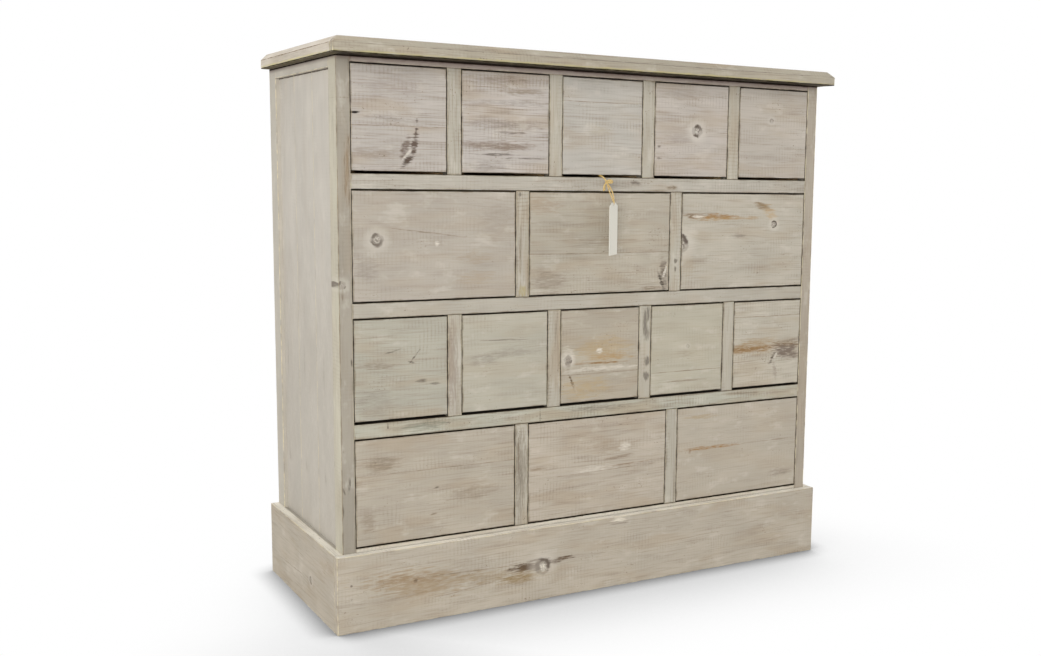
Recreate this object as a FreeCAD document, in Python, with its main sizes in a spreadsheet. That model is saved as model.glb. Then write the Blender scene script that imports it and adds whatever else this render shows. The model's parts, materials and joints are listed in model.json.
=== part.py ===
"""Seed storage cabinet: a limed-pine chest with sixteen drawers in four rows, on a plinth.

Frame: +Z up, X along the width, the drawers face -Y. The origin is on the floor, midway across the
width and midway between the front edge of the top and the back. Lengths are in millimetres.
"""
import FreeCAD, Part
import math
import os
import re

os.makedirs("parts", exist_ok=True)
doc = FreeCAD.newDocument("seed_cabinet")

# ---------------------------------------------------------------- driving dimensions
SIZES = {
    # carcass
    "carcass_width": 970.0,
    "carcass_depth": 376.0,
    "post_width": 22.5,
    "front_post_depth": 36.5,
    "rear_post_depth": 38.0,
    "rail_height": 25.5,
    "rail_depth": 20.0,
    "top_rail_height": 10.5,
    "bottom_rail_reveal": 7.0,
    "divider_width": 25.0,
    "panel_recess": 7.0,
    "panel_thickness": 8.0,
    "panel_tongue": 8.0,
    "side_top_rail_height": 18.0,
    "side_top_rail_width": 38.0,
    "side_bottom_rail_height": 30.0,
    "back_rail_height": 40.0,
    "back_panel_inset": 6.0,
    "back_panel_thickness": 6.0,
    # top
    "top_thickness": 26.0,
    "top_overhang_front": 34.0,
    "top_overhang_side": 15.0,
    "top_bevel": 10.5,
    "top_under_round": 2.0,
    # plinth
    "plinth_height": 132.0,
    "plinth_thickness": 15.0,
    "arris_round": 1.2,
    # shelves under the drawers
    "shelf_thickness": 9.0,
    "cleat_width": 12.0,
    "cleat_height": 14.0,
    "guide_height": 12.0,
    "guide_clearance": 1.0,
    # drawers
    "small_front_height": 168.5,
    "wide_front_height": 180.0,
    "front_thickness": 20.0,
    "drawer_reveal": 1.5,
    "finger_gap": 3.5,
    "runner_gap": 0.3,
    "back_gap": 0.5,
    "box_inset": 1.0,
    "box_side_thickness": 11.0,
    "box_back_thickness": 11.0,
    "box_bottom_thickness": 4.0,
    "box_bottom_lift": 8.0,
    "box_bottom_groove": 5.0,
    "box_side_drop": 10.0,
    "box_back_drop": 6.0,
    # screws that hold the top down
    "screw_diameter": 4.0,
    "screw_head_diameter": 8.0,
    "screw_head_height": 3.0,
    "screw_bite": 14.0,
    "screw_inset": 29.0,
    "screw_spacing": 110.0,
    # swing tag and its string
    "tag_width": 48.0,
    "tag_height": 93.0,
    "tag_thickness": 0.8,
    "tag_turn": 42.5,
    "tag_clip_across": 13.0,
    "tag_clip_down": 6.0,
    "tag_hole_diameter": 4.0,
    "tag_hole_drop": 4.5,
    "tag_gap": 0.5,
    "string_diameter": 2.0,
}

sheet = doc.addObject("Spreadsheet::Sheet", "Sizes")
for line, (alias, value) in enumerate(SIZES.items(), start=1):
    sheet.set(f"A{line}", alias)
    sheet.set(f"B{line}", str(value))
    sheet.setAlias(f"B{line}", alias)
doc.recompute()

# Rows count from the top: number of drawers, height of their fronts, gap under them.
ROWS = {
    4: (3, "wide_front_height", "drawer_reveal"),
    3: (5, "small_front_height", "finger_gap"),
    2: (3, "wide_front_height", "drawer_reveal"),
    1: (5, "small_front_height", "finger_gap"),
}
SIDES = {"left": -1, "right": 1}

# ---------------------------------------------------------------- places worked out from the sizes
PLACES = {
    "half_width": "carcass_width / 2",
    "inner_half": "half_width - post_width",
    "back_plane": "(carcass_depth + top_overhang_front) / 2",
    "front_plane": "back_plane - carcass_depth",
    "posts_from": "front_plane + front_post_depth",
    "posts_to": "back_plane - rear_post_depth",
    "panel_outside": "half_width - panel_recess",
    "panel_inside": "panel_outside - panel_thickness",
    "back_panel_front": "back_plane - back_panel_inset - back_panel_thickness",
    "rail_back": "front_plane + rail_depth",
    "drawer_length": "back_panel_front - back_gap - front_plane",
    "guide_half": "divider_width / 2 + drawer_reveal + box_inset - guide_clearance",
    "row_4_floor": "plinth_height + bottom_rail_reveal",
    "carcass_top": "row_1_ceiling + top_rail_height",
    "top_surface": "carcass_top + top_thickness",
    "base_shelf_under": "row_4_floor - shelf_thickness",
}
for row, (count, front_height, gap_under) in ROWS.items():
    PLACES[f"row_{row}_ceiling"] = f"row_{row}_floor + {gap_under} + {front_height} + drawer_reveal"
    PLACES[f"row_{row}_bay"] = f"(2 * inner_half - {count - 1} * divider_width) / {count}"
    if row > 1:
        PLACES[f"row_{row - 1}_floor"] = f"row_{row}_ceiling + rail_height"


def spell(text):
    """Turn names of sizes and places into one expression on the sheet."""
    def swap(match):
        word = match.group(0)
        if word in PLACES:
            return "(" + spell(PLACES[word]) + ")"
        return "Sizes." + word if word in SIZES else word
    return re.sub(r"[a-z]\w*", swap, text)


def measure(text):
    """The number that such an expression has now."""
    return float(sheet.evalExpression(spell(text)))


def bind(item, **expressions):
    """Bind an object's properties; two underscores stand for a dot."""
    for name, text in expressions.items():
        item.setExpression(name.replace("__", "."), spell(text))


def place(item, x, y, z):
    bind(item, Placement__Base__x=x, Placement__Base__y=y, Placement__Base__z=z)


finished = []


def finish(item, label):
    """Mark an object as a sub-part: its label names the file."""
    item.Label = label
    finished.append(item)
    return item


def board(name, low, high):
    """A squared board between two corners, each an (x, y, z) of expressions."""
    box = doc.addObject("Part::Box", name)
    spans = [f"({b}) - ({a})" for a, b in zip(low, high)]
    bind(box, Length=spans[0], Width=spans[1], Height=spans[2])
    place(box, *low)
    return box


def mirrored_board(name, side, low, high):
    """A board for the right-hand side, or its mirror on the left."""
    if side > 0:
        return board(name, low, high)
    return board(name, ("-(" + high[0] + ")",) + tuple(low[1:]), ("-(" + low[0] + ")",) + tuple(high[1:]))


def cut(name, base, *tools):
    """Take one or more tools out of a board."""
    result = base
    for number, tool in enumerate(tools, start=1):
        step = doc.addObject("Part::Cut", f"{name}_cut_{number}")
        step.Base = result
        step.Tool = tool
        result = step
    return result


def group(name, members):
    """Separate solids that share one node."""
    compound = doc.addObject("Part::Compound", f"{name}_group")
    compound.Links = members
    return compound


FACES = {"left": (0, 0), "right": (0, 1), "front": (1, 0), "back": (1, 1), "bottom": (2, 0), "top": (2, 1)}


def dressed_board(name, low, high, rounds, bevels=None):
    """A board with its worn or moulded edges.

    rounds and bevels each hold a size and the edges that get it, where "front top" is the edge
    between the front and the top face.
    """
    body = doc.addObject("PartDesign::Body", name)
    feature = body.newObject("PartDesign::AdditiveBox", name + "_blank")
    spans = [f"({b}) - ({a})" for a, b in zip(low, high)]
    bind(feature, Length=spans[0], Width=spans[1], Height=spans[2])
    place(body, *low)
    doc.recompute()
    lengths = [measure(span) for span in spans]

    def joins(edge, pair):
        middle = edge.CenterOfMass
        share = [c / n for c, n in zip((middle.x, middle.y, middle.z), lengths)]
        return all(abs(share[FACES[face][0]] - FACES[face][1]) < 0.001 for face in pair.split())

    for kind, wanted in (("Chamfer", bevels), ("Fillet", rounds)):
        if not wanted:
            continue
        size, pairs = wanted
        names = [f"Edge{number}" for number, edge in enumerate(feature.Shape.Edges, start=1)
                 if any(joins(edge, pair) for pair in pairs)]
        dressing = body.newObject("PartDesign::" + kind, f"{name}_{kind.lower()}")
        dressing.Base = (feature, names)
        bind(dressing, **{"Size" if kind == "Chamfer" else "Radius": size})
        doc.recompute()
        feature = dressing
    body.Tip = feature
    return body


# ---------------------------------------------------------------- posts
for side_name, side in SIDES.items():
    post = mirrored_board(
        f"front_post_{side_name}_blank", side,
        ("inner_half", "front_plane", "0"),
        ("half_width", "posts_from", "carcass_top"))
    groove = mirrored_board(
        f"front_post_{side_name}_groove", side,
        ("panel_inside", "posts_from - panel_tongue", "base_shelf_under - panel_tongue"),
        ("panel_outside", "posts_from", "carcass_top - side_top_rail_height + panel_tongue"))
    finish(cut(f"front_post_{side_name}", post, groove), f"front_post_{side_name}")

rear_posts = []
for side_name, side in SIDES.items():
    post = mirrored_board(
        f"rear_post_{side_name}_blank", side,
        ("inner_half", "posts_to", "0"),
        ("half_width", "back_plane", "carcass_top"))
    side_groove = mirrored_board(
        f"rear_post_{side_name}_side_groove", side,
        ("panel_inside", "posts_to", "base_shelf_under - panel_tongue"),
        ("panel_outside", "posts_to + panel_tongue",
         "carcass_top - side_top_rail_height + panel_tongue"))
    back_groove = mirrored_board(
        f"rear_post_{side_name}_back_groove", side,
        ("inner_half", "back_panel_front", "base_shelf_under - panel_tongue"),
        ("inner_half + panel_tongue", "back_panel_front + back_panel_thickness",
         "carcass_top - back_rail_height + panel_tongue"))
    rear_posts.append(cut(f"rear_post_{side_name}", post, side_groove, back_groove))
finish(group("rear_posts", rear_posts), "rear_posts")

# ---------------------------------------------------------------- screws, which also bore their holes
screws = {}
for side_name, side in SIDES.items():
    screws[side_name] = []
    for number in (-1, 0, 1):
        name = f"screw_{side_name}_{number + 2}"
        across = f"{side} * (half_width - screw_inset)"
        along = f"(posts_from + posts_to) / 2 + {number} * screw_spacing"
        shank = doc.addObject("Part::Cylinder", name + "_shank")
        bind(shank, Radius="screw_diameter / 2", Height="side_top_rail_height + screw_bite")
        place(shank, across, along, "carcass_top - side_top_rail_height")
        head = doc.addObject("Part::Cone", name + "_head")
        bind(head, Radius1="screw_head_diameter / 2", Radius2="screw_diameter / 2",
             Height="screw_head_height")
        place(head, across, along, "carcass_top - side_top_rail_height")
        screw = doc.addObject("Part::Fuse", name)
        screw.Base = shank
        screw.Tool = head
        screws[side_name].append(screw)
finish(group("top_screws", screws["left"] + screws["right"]), "top_screws")

# ---------------------------------------------------------------- framed sides
for side_name, side in SIDES.items():
    panel = mirrored_board(
        f"side_panel_{side_name}", side,
        ("panel_inside", "posts_from - panel_tongue", "base_shelf_under - panel_tongue"),
        ("panel_outside", "posts_to + panel_tongue",
         "carcass_top - side_top_rail_height + panel_tongue"))
    finish(panel, f"side_panel_{side_name}")
    top_rail = mirrored_board(
        f"side_top_rail_{side_name}_blank", side,
        ("half_width - side_top_rail_width", "posts_from", "carcass_top - side_top_rail_height"),
        ("half_width", "posts_to", "carcass_top"))
    bottom_rail = mirrored_board(
        f"side_bottom_rail_{side_name}_blank", side,
        ("inner_half", "posts_from", "base_shelf_under - side_bottom_rail_height"),
        ("half_width", "posts_to", "base_shelf_under"))
    rails = [
        cut(f"side_top_rail_{side_name}", top_rail, panel, *screws[side_name]),
        cut(f"side_bottom_rail_{side_name}", bottom_rail, panel),
    ]
    finish(group(f"side_rails_{side_name}", rails), f"side_rails_{side_name}")

# ---------------------------------------------------------------- back
back_panel = board(
    "back_panel",
    ("-inner_half - panel_tongue", "back_panel_front", "base_shelf_under - panel_tongue"),
    ("inner_half + panel_tongue", "back_panel_front + back_panel_thickness",
     "carcass_top - back_rail_height + panel_tongue"))
finish(back_panel, "back_panel")
back_top_rail = board(
    "back_top_rail_blank",
    ("-inner_half", "back_panel_front", "carcass_top - back_rail_height"),
    ("inner_half", "back_plane", "carcass_top"))
back_bottom_rail = board(
    "back_bottom_rail_blank",
    ("-inner_half", "back_panel_front", "base_shelf_under - back_rail_height"),
    ("inner_half", "back_plane", "base_shelf_under"))
back_rails = [
    cut("back_top_rail", back_top_rail, back_panel),
    cut("back_bottom_rail", back_bottom_rail, back_panel),
]
finish(group("back_rails", back_rails), "back_rails")

# ---------------------------------------------------------------- front rails
FRONT_RAILS = {
    "top_rail": ("row_1_ceiling", "carcass_top"),
    "rail_below_row_1": ("row_2_ceiling", "row_1_floor"),
    "rail_below_row_2": ("row_3_ceiling", "row_2_floor"),
    "rail_below_row_3": ("row_4_ceiling", "row_3_floor"),
    "bottom_rail": ("row_4_floor - rail_height", "row_4_floor"),
}
for name, (under, over) in FRONT_RAILS.items():
    rail = board(name, ("-inner_half", "front_plane", under), ("inner_half", "rail_back", over))
    finish(rail, name)


def divider_middle(row, number):
    """Distance of a divider's middle from the centre plane; dividers count from the left."""
    bay = f"row_{row}_bay"
    return f"-inner_half + {number} * ({bay} + divider_width) - divider_width / 2"


# ---------------------------------------------------------------- dividers, shelves and guides
for kind in ("small", "wide"):
    dividers = []
    for row, (count, front_height, _) in ROWS.items():
        if front_height != f"{kind}_front_height":
            continue
        for number in range(1, count):
            middle = divider_middle(row, number)
            dividers.append(board(
                f"divider_r{row}_{number}",
                (f"{middle} - divider_width / 2", "front_plane", f"row_{row}_floor"),
                (f"{middle} + divider_width / 2", "rail_back", f"row_{row}_ceiling")))
    finish(group(f"dividers_{kind}_rows", dividers), f"dividers_{kind}_rows")

shelves = []
cleats = []
guides = []
for row, (count, *_) in ROWS.items():
    floor = f"row_{row}_floor"
    between_posts = board(
        f"shelf_{row}_middle",
        ("-panel_inside", "posts_from", f"{floor} - shelf_thickness"),
        ("panel_inside", "posts_to", floor))
    front_to_back = board(
        f"shelf_{row}_long",
        ("-inner_half", "rail_back", f"{floor} - shelf_thickness"),
        ("inner_half", "back_panel_front", floor))
    shelf = doc.addObject("Part::Fuse", f"shelf_{row}")
    shelf.Base = between_posts
    shelf.Tool = front_to_back
    shelf.Refine = True
    shelves.append(shelf)
    for number in range(1, count):
        middle = divider_middle(row, number)
        guides.append(board(
            f"guide_r{row}_{number}",
            (f"{middle} - guide_half", "rail_back", floor),
            (f"{middle} + guide_half", "back_panel_front", f"{floor} + guide_height")))
    for side_name, side in SIDES.items():
        guides.append(mirrored_board(
            f"guide_r{row}_{side_name}", side,
            ("inner_half - drawer_reveal - box_inset + guide_clearance", "posts_from", floor),
            ("panel_inside", "posts_to", f"{floor} + guide_height")))
        if row < max(ROWS):
            cleats.append(mirrored_board(
                f"cleat_{row}_{side_name}", side,
                ("panel_inside - cleat_width", "posts_from",
                 f"{floor} - shelf_thickness - cleat_height"),
                ("panel_inside", "posts_to", f"{floor} - shelf_thickness")))
finish(group("drawer_shelves", shelves), "drawer_shelves")
finish(group("shelf_cleats", cleats), "shelf_cleats")
finish(group("drawer_guides", guides), "drawer_guides")

# ---------------------------------------------------------------- top with its moulded edging
top_blank = board(
    "top_board_blank",
    ("-half_width", "front_plane - top_overhang_front + top_overhang_side", "carcass_top"),
    ("half_width", "back_plane", "top_surface"))
finish(cut("top_board", top_blank, *screws["left"], *screws["right"]), "top_board")

front_strip = dressed_board(
    "top_moulding_front",
    ("-half_width - top_overhang_side", "front_plane - top_overhang_front", "carcass_top"),
    ("half_width + top_overhang_side",
     "front_plane - top_overhang_front + top_overhang_side", "top_surface"),
    rounds=("top_under_round", ("bottom left", "bottom right", "bottom front")),
    bevels=("top_bevel", ("top left", "top right", "top front")))
finish(front_strip, "top_moulding_front")

side_strips = []
for side_name, side in SIDES.items():
    near = f"{side} * half_width"
    far = f"{side} * (half_width + top_overhang_side)"
    low_x, high_x = (near, far) if side > 0 else (far, near)
    side_strips.append(dressed_board(
        f"top_moulding_{side_name}",
        (low_x, "front_plane - top_overhang_front + top_overhang_side", "carcass_top"),
        (high_x, "back_plane", "top_surface"),
        rounds=("top_under_round", [f"bottom {side_name}"]),
        bevels=("top_bevel", [f"top {side_name}"])))
finish(group("top_moulding_sides", side_strips), "top_moulding_sides")

# ---------------------------------------------------------------- plinth boards
plinth_front = dressed_board(
    "plinth_front",
    ("-half_width - plinth_thickness", "front_plane - plinth_thickness", "0"),
    ("half_width + plinth_thickness", "front_plane", "plinth_height"),
    rounds=("arris_round", ("top left", "top right", "top front", "front left", "front right")))
finish(plinth_front, "plinth_front")

plinth_sides = []
for side_name, side in SIDES.items():
    near = f"{side} * half_width"
    far = f"{side} * (half_width + plinth_thickness)"
    low_x, high_x = (near, far) if side > 0 else (far, near)
    plinth_sides.append(dressed_board(
        f"plinth_{side_name}",
        (low_x, "front_plane", "0"),
        (high_x, "back_plane", "plinth_height"),
        rounds=("arris_round", [f"top {side_name}"])))
finish(group("plinth_sides", plinth_sides), "plinth_sides")


# ---------------------------------------------------------------- drawers
def drawer(row, column):
    """One drawer: its inset front, and the box of two sides, a back and a bottom behind it."""
    count, front_height, gap_under = ROWS[row]
    name = f"drawer_r{row}_c{column}"
    bay_left = f"-inner_half + {column - 1} * (row_{row}_bay + divider_width)"
    left = f"{bay_left} + drawer_reveal"
    right = f"{bay_left} + row_{row}_bay - drawer_reveal"
    low = f"row_{row}_floor + {gap_under}"
    high = f"{low} + {front_height}"
    seat = f"row_{row}_floor + runner_gap"
    front_back = "front_plane + front_thickness"
    box_end = "front_plane + drawer_length"
    box_left = f"{left} + box_inset"
    box_right = f"{right} - box_inset"
    box_high = f"{high} - box_side_drop"
    bottom_low = f"{seat} + box_bottom_lift"
    bottom_high = f"{bottom_low} + box_bottom_thickness"

    bottom = board(
        name + "_bottom",
        (f"{box_left} + box_side_thickness - box_bottom_groove",
         f"{front_back} - box_bottom_groove", bottom_low),
        (f"{box_right} - box_side_thickness + box_bottom_groove", box_end, bottom_high))
    sides = [
        board(name + "_left_side_blank", (box_left, front_back, seat),
              (f"{box_left} + box_side_thickness", box_end, box_high)),
        board(name + "_right_side_blank", (f"{box_right} - box_side_thickness", front_back, seat),
              (box_right, box_end, box_high)),
    ]
    pieces = [cut(side.Name.replace("_blank", ""), side, bottom) for side in sides]
    pieces.append(board(
        name + "_back",
        (f"{box_left} + box_side_thickness", f"{box_end} - box_back_thickness", bottom_high),
        (f"{box_right} - box_side_thickness", box_end, f"{box_high} - box_back_drop")))
    pieces.append(bottom)

    face = dressed_board(
        name + "_face", (left, "front_plane", low), (right, front_back, high),
        rounds=("arris_round", ("front left", "front right", "front bottom", "front top")))
    finish(cut(name + "_front", face, bottom), name + "_front")
    finish(group(name + "_box", pieces), name + "_box")


for row, (count, *_) in ROWS.items():
    for column in range(1, count + 1):
        drawer(row, column)

# ---------------------------------------------------------------- swing tag on its string
# The tag hangs in front of the middle drawer of the second row, its far edge close to the face.
TAG_HOLE_X = 13.5
TAG_HOLE_BELOW_ROW_1 = 49.3
turn = measure("tag_turn")
reach = measure("tag_width / 2") * math.sin(math.radians(turn))
tag_y = measure("front_plane - tag_gap - tag_thickness") - reach
tag_z = measure("row_1_floor") - TAG_HOLE_BELOW_ROW_1
half = measure("tag_width / 2")
top_edge = measure("tag_hole_drop")
clip_across = measure("tag_clip_across")
clip_down = measure("tag_clip_down")
outline = [
    (-half, top_edge - measure("tag_height")),
    (half, top_edge - measure("tag_height")),
    (half, top_edge - clip_down),
    (half - clip_across, top_edge),
    (clip_across - half, top_edge),
    (-half, top_edge - clip_down),
]
corners = [FreeCAD.Vector(x, 0, z) for x, z in outline]
face = Part.Face(Part.makePolygon(corners + corners[:1]))
thickness = FreeCAD.Vector(0, measure("tag_thickness"), 0)
hole = Part.makeCylinder(measure("tag_hole_diameter / 2"), 3 * thickness.y,
                         FreeCAD.Vector(0, -thickness.y, 0), FreeCAD.Vector(0, 1, 0))
tag = doc.addObject("Part::Feature", "swing_tag_card")
tag.Shape = face.extrude(thickness).cut(hole)
tag.Placement = FreeCAD.Placement(
    FreeCAD.Vector(TAG_HOLE_X, tag_y, tag_z),
    FreeCAD.Rotation(FreeCAD.Vector(0, 0, 1), turn))
finish(tag, "swing_tag")

# The string's route: x, how far out from the drawer fronts, and how far above the tag's hole.
STRING_ROUTE = [
    (-3.5, -6.0, 50.9),
    (-4.0, 7.5, 50.9),
    (0.5, 11.5, 39.5),
    (7.5, 15.0, 24.0),
    (12.0, 17.3, 10.5),
    (13.5, 17.6, 1.2),
]
front = measure("front_plane")
route = [FreeCAD.Vector(x, front - out, tag_z + up) for x, out, up in STRING_ROUTE]


def corded_path(points):
    """Straight runs joined by tangent arcs as large as their two runs allow."""
    edges = []
    start = points[0]
    for before, corner, after in zip(points, points[1:], points[2:]):
        into = (corner - before).normalize()
        out = (after - corner).normalize()
        shorter = min((corner - before).Length, (after - corner).Length)
        half_turn = into.getAngle(out) / 2
        setback = 0.45 * shorter
        radius = setback / math.tan(half_turn)
        print(f"string bend radius {radius:.1f} mm")
        entry = corner - into * setback
        leave = corner + out * setback
        middle_way = (out - into).normalize()
        centre = corner + middle_way * (radius / math.cos(half_turn))
        middle = centre - middle_way * radius
        edges.append(Part.LineSegment(start, entry).toShape())
        edges.append(Part.Arc(entry, middle, leave).toShape())
        start = leave
    edges.append(Part.LineSegment(start, points[-1]).toShape())
    return Part.Wire(edges)


path = corded_path(route)
radius = measure("string_diameter / 2")
section = Part.Wire(Part.makeCircle(radius, route[0], route[1] - route[0]))
string = doc.addObject("Part::Feature", "tag_string_tube")
string.Shape = path.makePipeShell([section], True, True)
string.Placement = FreeCAD.Placement()
finish(string, "tag_string")
tube_volume = math.pi * radius ** 2 * path.Length
print(f"string {path.Length:.1f} mm long, volume {string.Shape.Volume / tube_volume:.4f} of a tube")

# ---------------------------------------------------------------- check and write
doc.recompute()
for item in doc.Objects:
    if "Invalid" in item.State or "Error" in item.State:
        raise RuntimeError(f"{item.Name} failed: {item.State}")
for item in finished:
    if item.Shape.isNull() or not item.Shape.isValid() or not item.Shape.Solids:
        raise RuntimeError(f"{item.Label} has no valid shape")
for item in finished:
    item.Shape.exportStep(f"parts/{item.Label}.step")
print(f"{len(finished)} nodes, {sum(len(item.Shape.Solids) for item in finished)} solids")
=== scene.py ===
# %% [markdown]
# # Seed storage cabinet: the looks
# The real piece is a chest of sixteen drawers in pine that was limed: a thin, pale wash was brushed on
# and partly wiped off, so that it stays in the grain, and dark wax was left in the gaps and along the
# edges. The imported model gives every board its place. This scene gives the boards their worn edges,
# their wash, their knots and their saw marks.

# %% Load the frame
import json
import math
from random import Random

import bmesh
import bpy
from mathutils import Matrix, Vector, noise


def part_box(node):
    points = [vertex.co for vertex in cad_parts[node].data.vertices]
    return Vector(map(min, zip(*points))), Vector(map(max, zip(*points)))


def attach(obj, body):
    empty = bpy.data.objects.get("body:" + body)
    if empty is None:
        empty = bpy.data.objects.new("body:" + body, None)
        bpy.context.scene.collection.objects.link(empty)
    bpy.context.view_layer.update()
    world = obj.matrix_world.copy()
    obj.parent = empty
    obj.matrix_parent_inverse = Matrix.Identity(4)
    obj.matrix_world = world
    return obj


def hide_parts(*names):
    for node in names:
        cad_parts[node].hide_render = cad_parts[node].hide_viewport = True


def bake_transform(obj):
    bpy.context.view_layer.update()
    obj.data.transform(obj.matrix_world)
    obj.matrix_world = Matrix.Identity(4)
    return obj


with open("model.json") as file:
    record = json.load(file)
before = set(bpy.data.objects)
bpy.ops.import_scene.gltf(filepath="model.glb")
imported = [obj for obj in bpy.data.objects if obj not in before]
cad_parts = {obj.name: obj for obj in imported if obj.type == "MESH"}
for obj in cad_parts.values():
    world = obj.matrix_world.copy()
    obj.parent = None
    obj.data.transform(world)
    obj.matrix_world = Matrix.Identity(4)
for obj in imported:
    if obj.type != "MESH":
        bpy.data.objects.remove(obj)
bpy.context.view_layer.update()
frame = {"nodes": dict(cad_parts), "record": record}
MM = 0.001

# %% [markdown]
# ## Camera
# The chest is seen from its front left corner, from about three quarters of its height, through a normal
# lens. The lens is also shifted sideways, as on a view camera: that moves the chest within the frame
# without turning the camera, which would change how its edges converge.

# %% Camera
CAMERA_PLACE = Vector((-1107.6, -2079.1, 753.9)) * MM
CAMERA_TURN = (82.32, -0.93, -31.34)
LENS_MM = 42.41
CAMERA_SHIFT = (-0.104, 0.015)

camera_data = bpy.data.cameras.new("camera")
camera_data.lens = LENS_MM
camera_data.shift_x, camera_data.shift_y = CAMERA_SHIFT
camera = bpy.data.objects.new("camera", camera_data)
camera.location = CAMERA_PLACE
camera.rotation_euler = [math.radians(angle) for angle in CAMERA_TURN]
bpy.context.scene.collection.objects.link(camera)
bpy.context.scene.camera = camera
bpy.context.scene.view_settings.view_transform = "Standard"
print("camera", round(CAMERA_PLACE.length, 2), "m from the middle of the chest's foot")


# %% [markdown]
# ## Colours and nodes
# Colours are written as the hex values that a paint chart gives. Blender works with linear light, so one
# function turns them. Every material is a small tree of nodes, and one function adds a node with its
# settings and its links, and hands back the node's output for the next one. Two more make a material and
# give it to a piece that keeps its CAD shape.

# %% Colours, nodes and materials
def linear(hex_value):
    """An sRGB hex colour as linear red, green, blue and alpha."""
    channels = [int(hex_value[i:i + 2], 16) / 255 for i in (1, 3, 5)]
    return [c / 12.92 if c <= 0.04045 else ((c + 0.055) / 1.055) ** 2.4 for c in channels] + [1.0]


def add(tree, kind, inputs, output=0, **settings):
    """Add a node; inputs are sockets to link or values to set, and output names the socket to return."""
    node = tree.nodes.new("ShaderNode" + kind)
    for name, value in settings.items():
        setattr(node, name, value)
    for key, value in inputs.items():
        if isinstance(value, bpy.types.NodeSocket):
            tree.links.new(value, node.inputs[key])
        else:
            node.inputs[key].default_value = value
    return node.outputs[output]


def new_material(name):
    """A material, its tree of nodes and the inputs of its surface shader."""
    material = bpy.data.materials.new(name)
    material.use_nodes = True
    return material, material.node_tree, material.node_tree.nodes["Principled BSDF"].inputs


def finish_node(node, material):
    """Give a CAD node, with the shape that it has, this one material."""
    data = frame["nodes"][node].data
    data.materials.clear()
    data.materials.append(material)


print("middle grey in linear light:", round(linear("#808080")[0], 3))

# %% [markdown]
# ## The board
# Every visible piece is a planed board, so one recipe serves them all. A box gets its moulding, if it has
# one, and then each sharp edge (the arris) is rounded, because hands and sandpaper take it off. Cuts
# across the board every few millimetres give it points, and those close to a long arris are pushed in by
# an uneven amount: that is wear. It costs little and catches the light as a drawn line doesn't.

# %% The shape of one board
SHARP_ANGLE = math.radians(25)
WEAR_REACH = 4 * MM
CUT_EVERY = 9 * MM
SAME_PLACE = 0.01 * MM


def sharp_edges(mesh):
    return [edge for edge in mesh.edges if edge.calc_face_angle(0) > SHARP_ANGLE]


def cut_across(mesh, axis, places):
    """Cut every face of the mesh where one axis has each of these values."""
    normal = Vector((axis == 0, axis == 1, axis == 2))
    for place in places:
        bmesh.ops.bisect_plane(mesh, geom=mesh.verts[:] + mesh.edges[:] + mesh.faces[:],
                               plane_co=normal * place, plane_no=normal)


def shape_board(low, high, axis, arris, end_arris, moulding=None):
    """A board between two corners, with its moulded edges, its rounded arrises and its cuts."""
    mesh = bmesh.new()
    bmesh.ops.create_cube(mesh, size=1)
    middle, size = (low + high) / 2, high - low
    for vertex in mesh.verts:
        vertex.co = middle + vertex.co * size
    if moulding:
        width, wanted = moulding
        edges = [e for e in mesh.edges if wanted((e.verts[0].co + e.verts[1].co) / 2)]
        bmesh.ops.bevel(mesh, geom=edges, offset=width, segments=1, affect="EDGES")

    def at_end(edge):
        return all(min(abs(v.co[axis] - low[axis]), abs(v.co[axis] - high[axis])) < SAME_PLACE
                   for v in edge.verts)

    bmesh.ops.bevel(mesh, geom=[e for e in sharp_edges(mesh) if not at_end(e)], offset=arris, segments=3,
                    profile=0.5, affect="EDGES")
    bmesh.ops.bevel(mesh, geom=[e for e in sharp_edges(mesh) if at_end(e)], offset=end_arris, segments=2,
                    profile=0.5, affect="EDGES")
    count = round(size[axis] / CUT_EVERY)
    cut_across(mesh, axis, [low[axis] + size[axis] * i / count for i in range(1, count)])
    for other in range(3):
        if size[other] > 3 * WEAR_REACH:
            cut_across(mesh, other, [low[other] + WEAR_REACH, high[other] - WEAR_REACH])
    return mesh


print("each board is cut every", round(CUT_EVERY / MM), "mm and worn within", round(WEAR_REACH / MM),
      "mm of an arris")

# %% [markdown]
# Wear is uneven in two ways: in soft swells some 25 mm long, where cloths and hands rubbed, and in small
# nicks a centimetre apart, where something bumped. So it adds a slow and a fast noise, whose waves are
# counted to the metre. A point wears by how near it lies to the second nearest long face: in the middle
# of a face that is nothing, and at an arris it is all.

# %% Wear
SLOW_WEAR, FAST_WEAR = 38, 110
FAST_SHARE = 0.6
LEAST_RUB = 0.25


def wear_board(mesh, low, high, axis, wear):
    """Push the points near the long arrises in by an uneven amount, of wear times about one at most."""
    middle, half = (low + high) / 2, (high - low) / 2
    for vertex in mesh.verts:
        closeness = [0 if i == axis else max(0, 1 - (half[i] - abs(vertex.co[i] - middle[i])) / WEAR_REACH)
                     for i in range(3)]
        rub = noise.noise(vertex.co * SLOW_WEAR) + FAST_SHARE * noise.noise(vertex.co * FAST_WEAR) + LEAST_RUB
        amount = wear * max(0, rub) * sorted(closeness)[1]
        for i in range(3):
            vertex.co[i] -= math.copysign(amount * closeness[i], vertex.co[i] - middle[i])


print("wear changes every", round(1000 / SLOW_WEAR), "mm, nicks every", round(1000 / FAST_WEAR), "mm")

# %% [markdown]
# A CAD node can hold several boards, such as all the dividers of the small rows. The first helper below
# finds the separate ones by walking from point to point along the edges, so the sizes come from the frame
# and not from a second list. Wide pieces such as the top are glued up from several boards.

# %% Boards of a CAD node
chance = Random(5)
UNEVEN_WIDTH = 0.25


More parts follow.
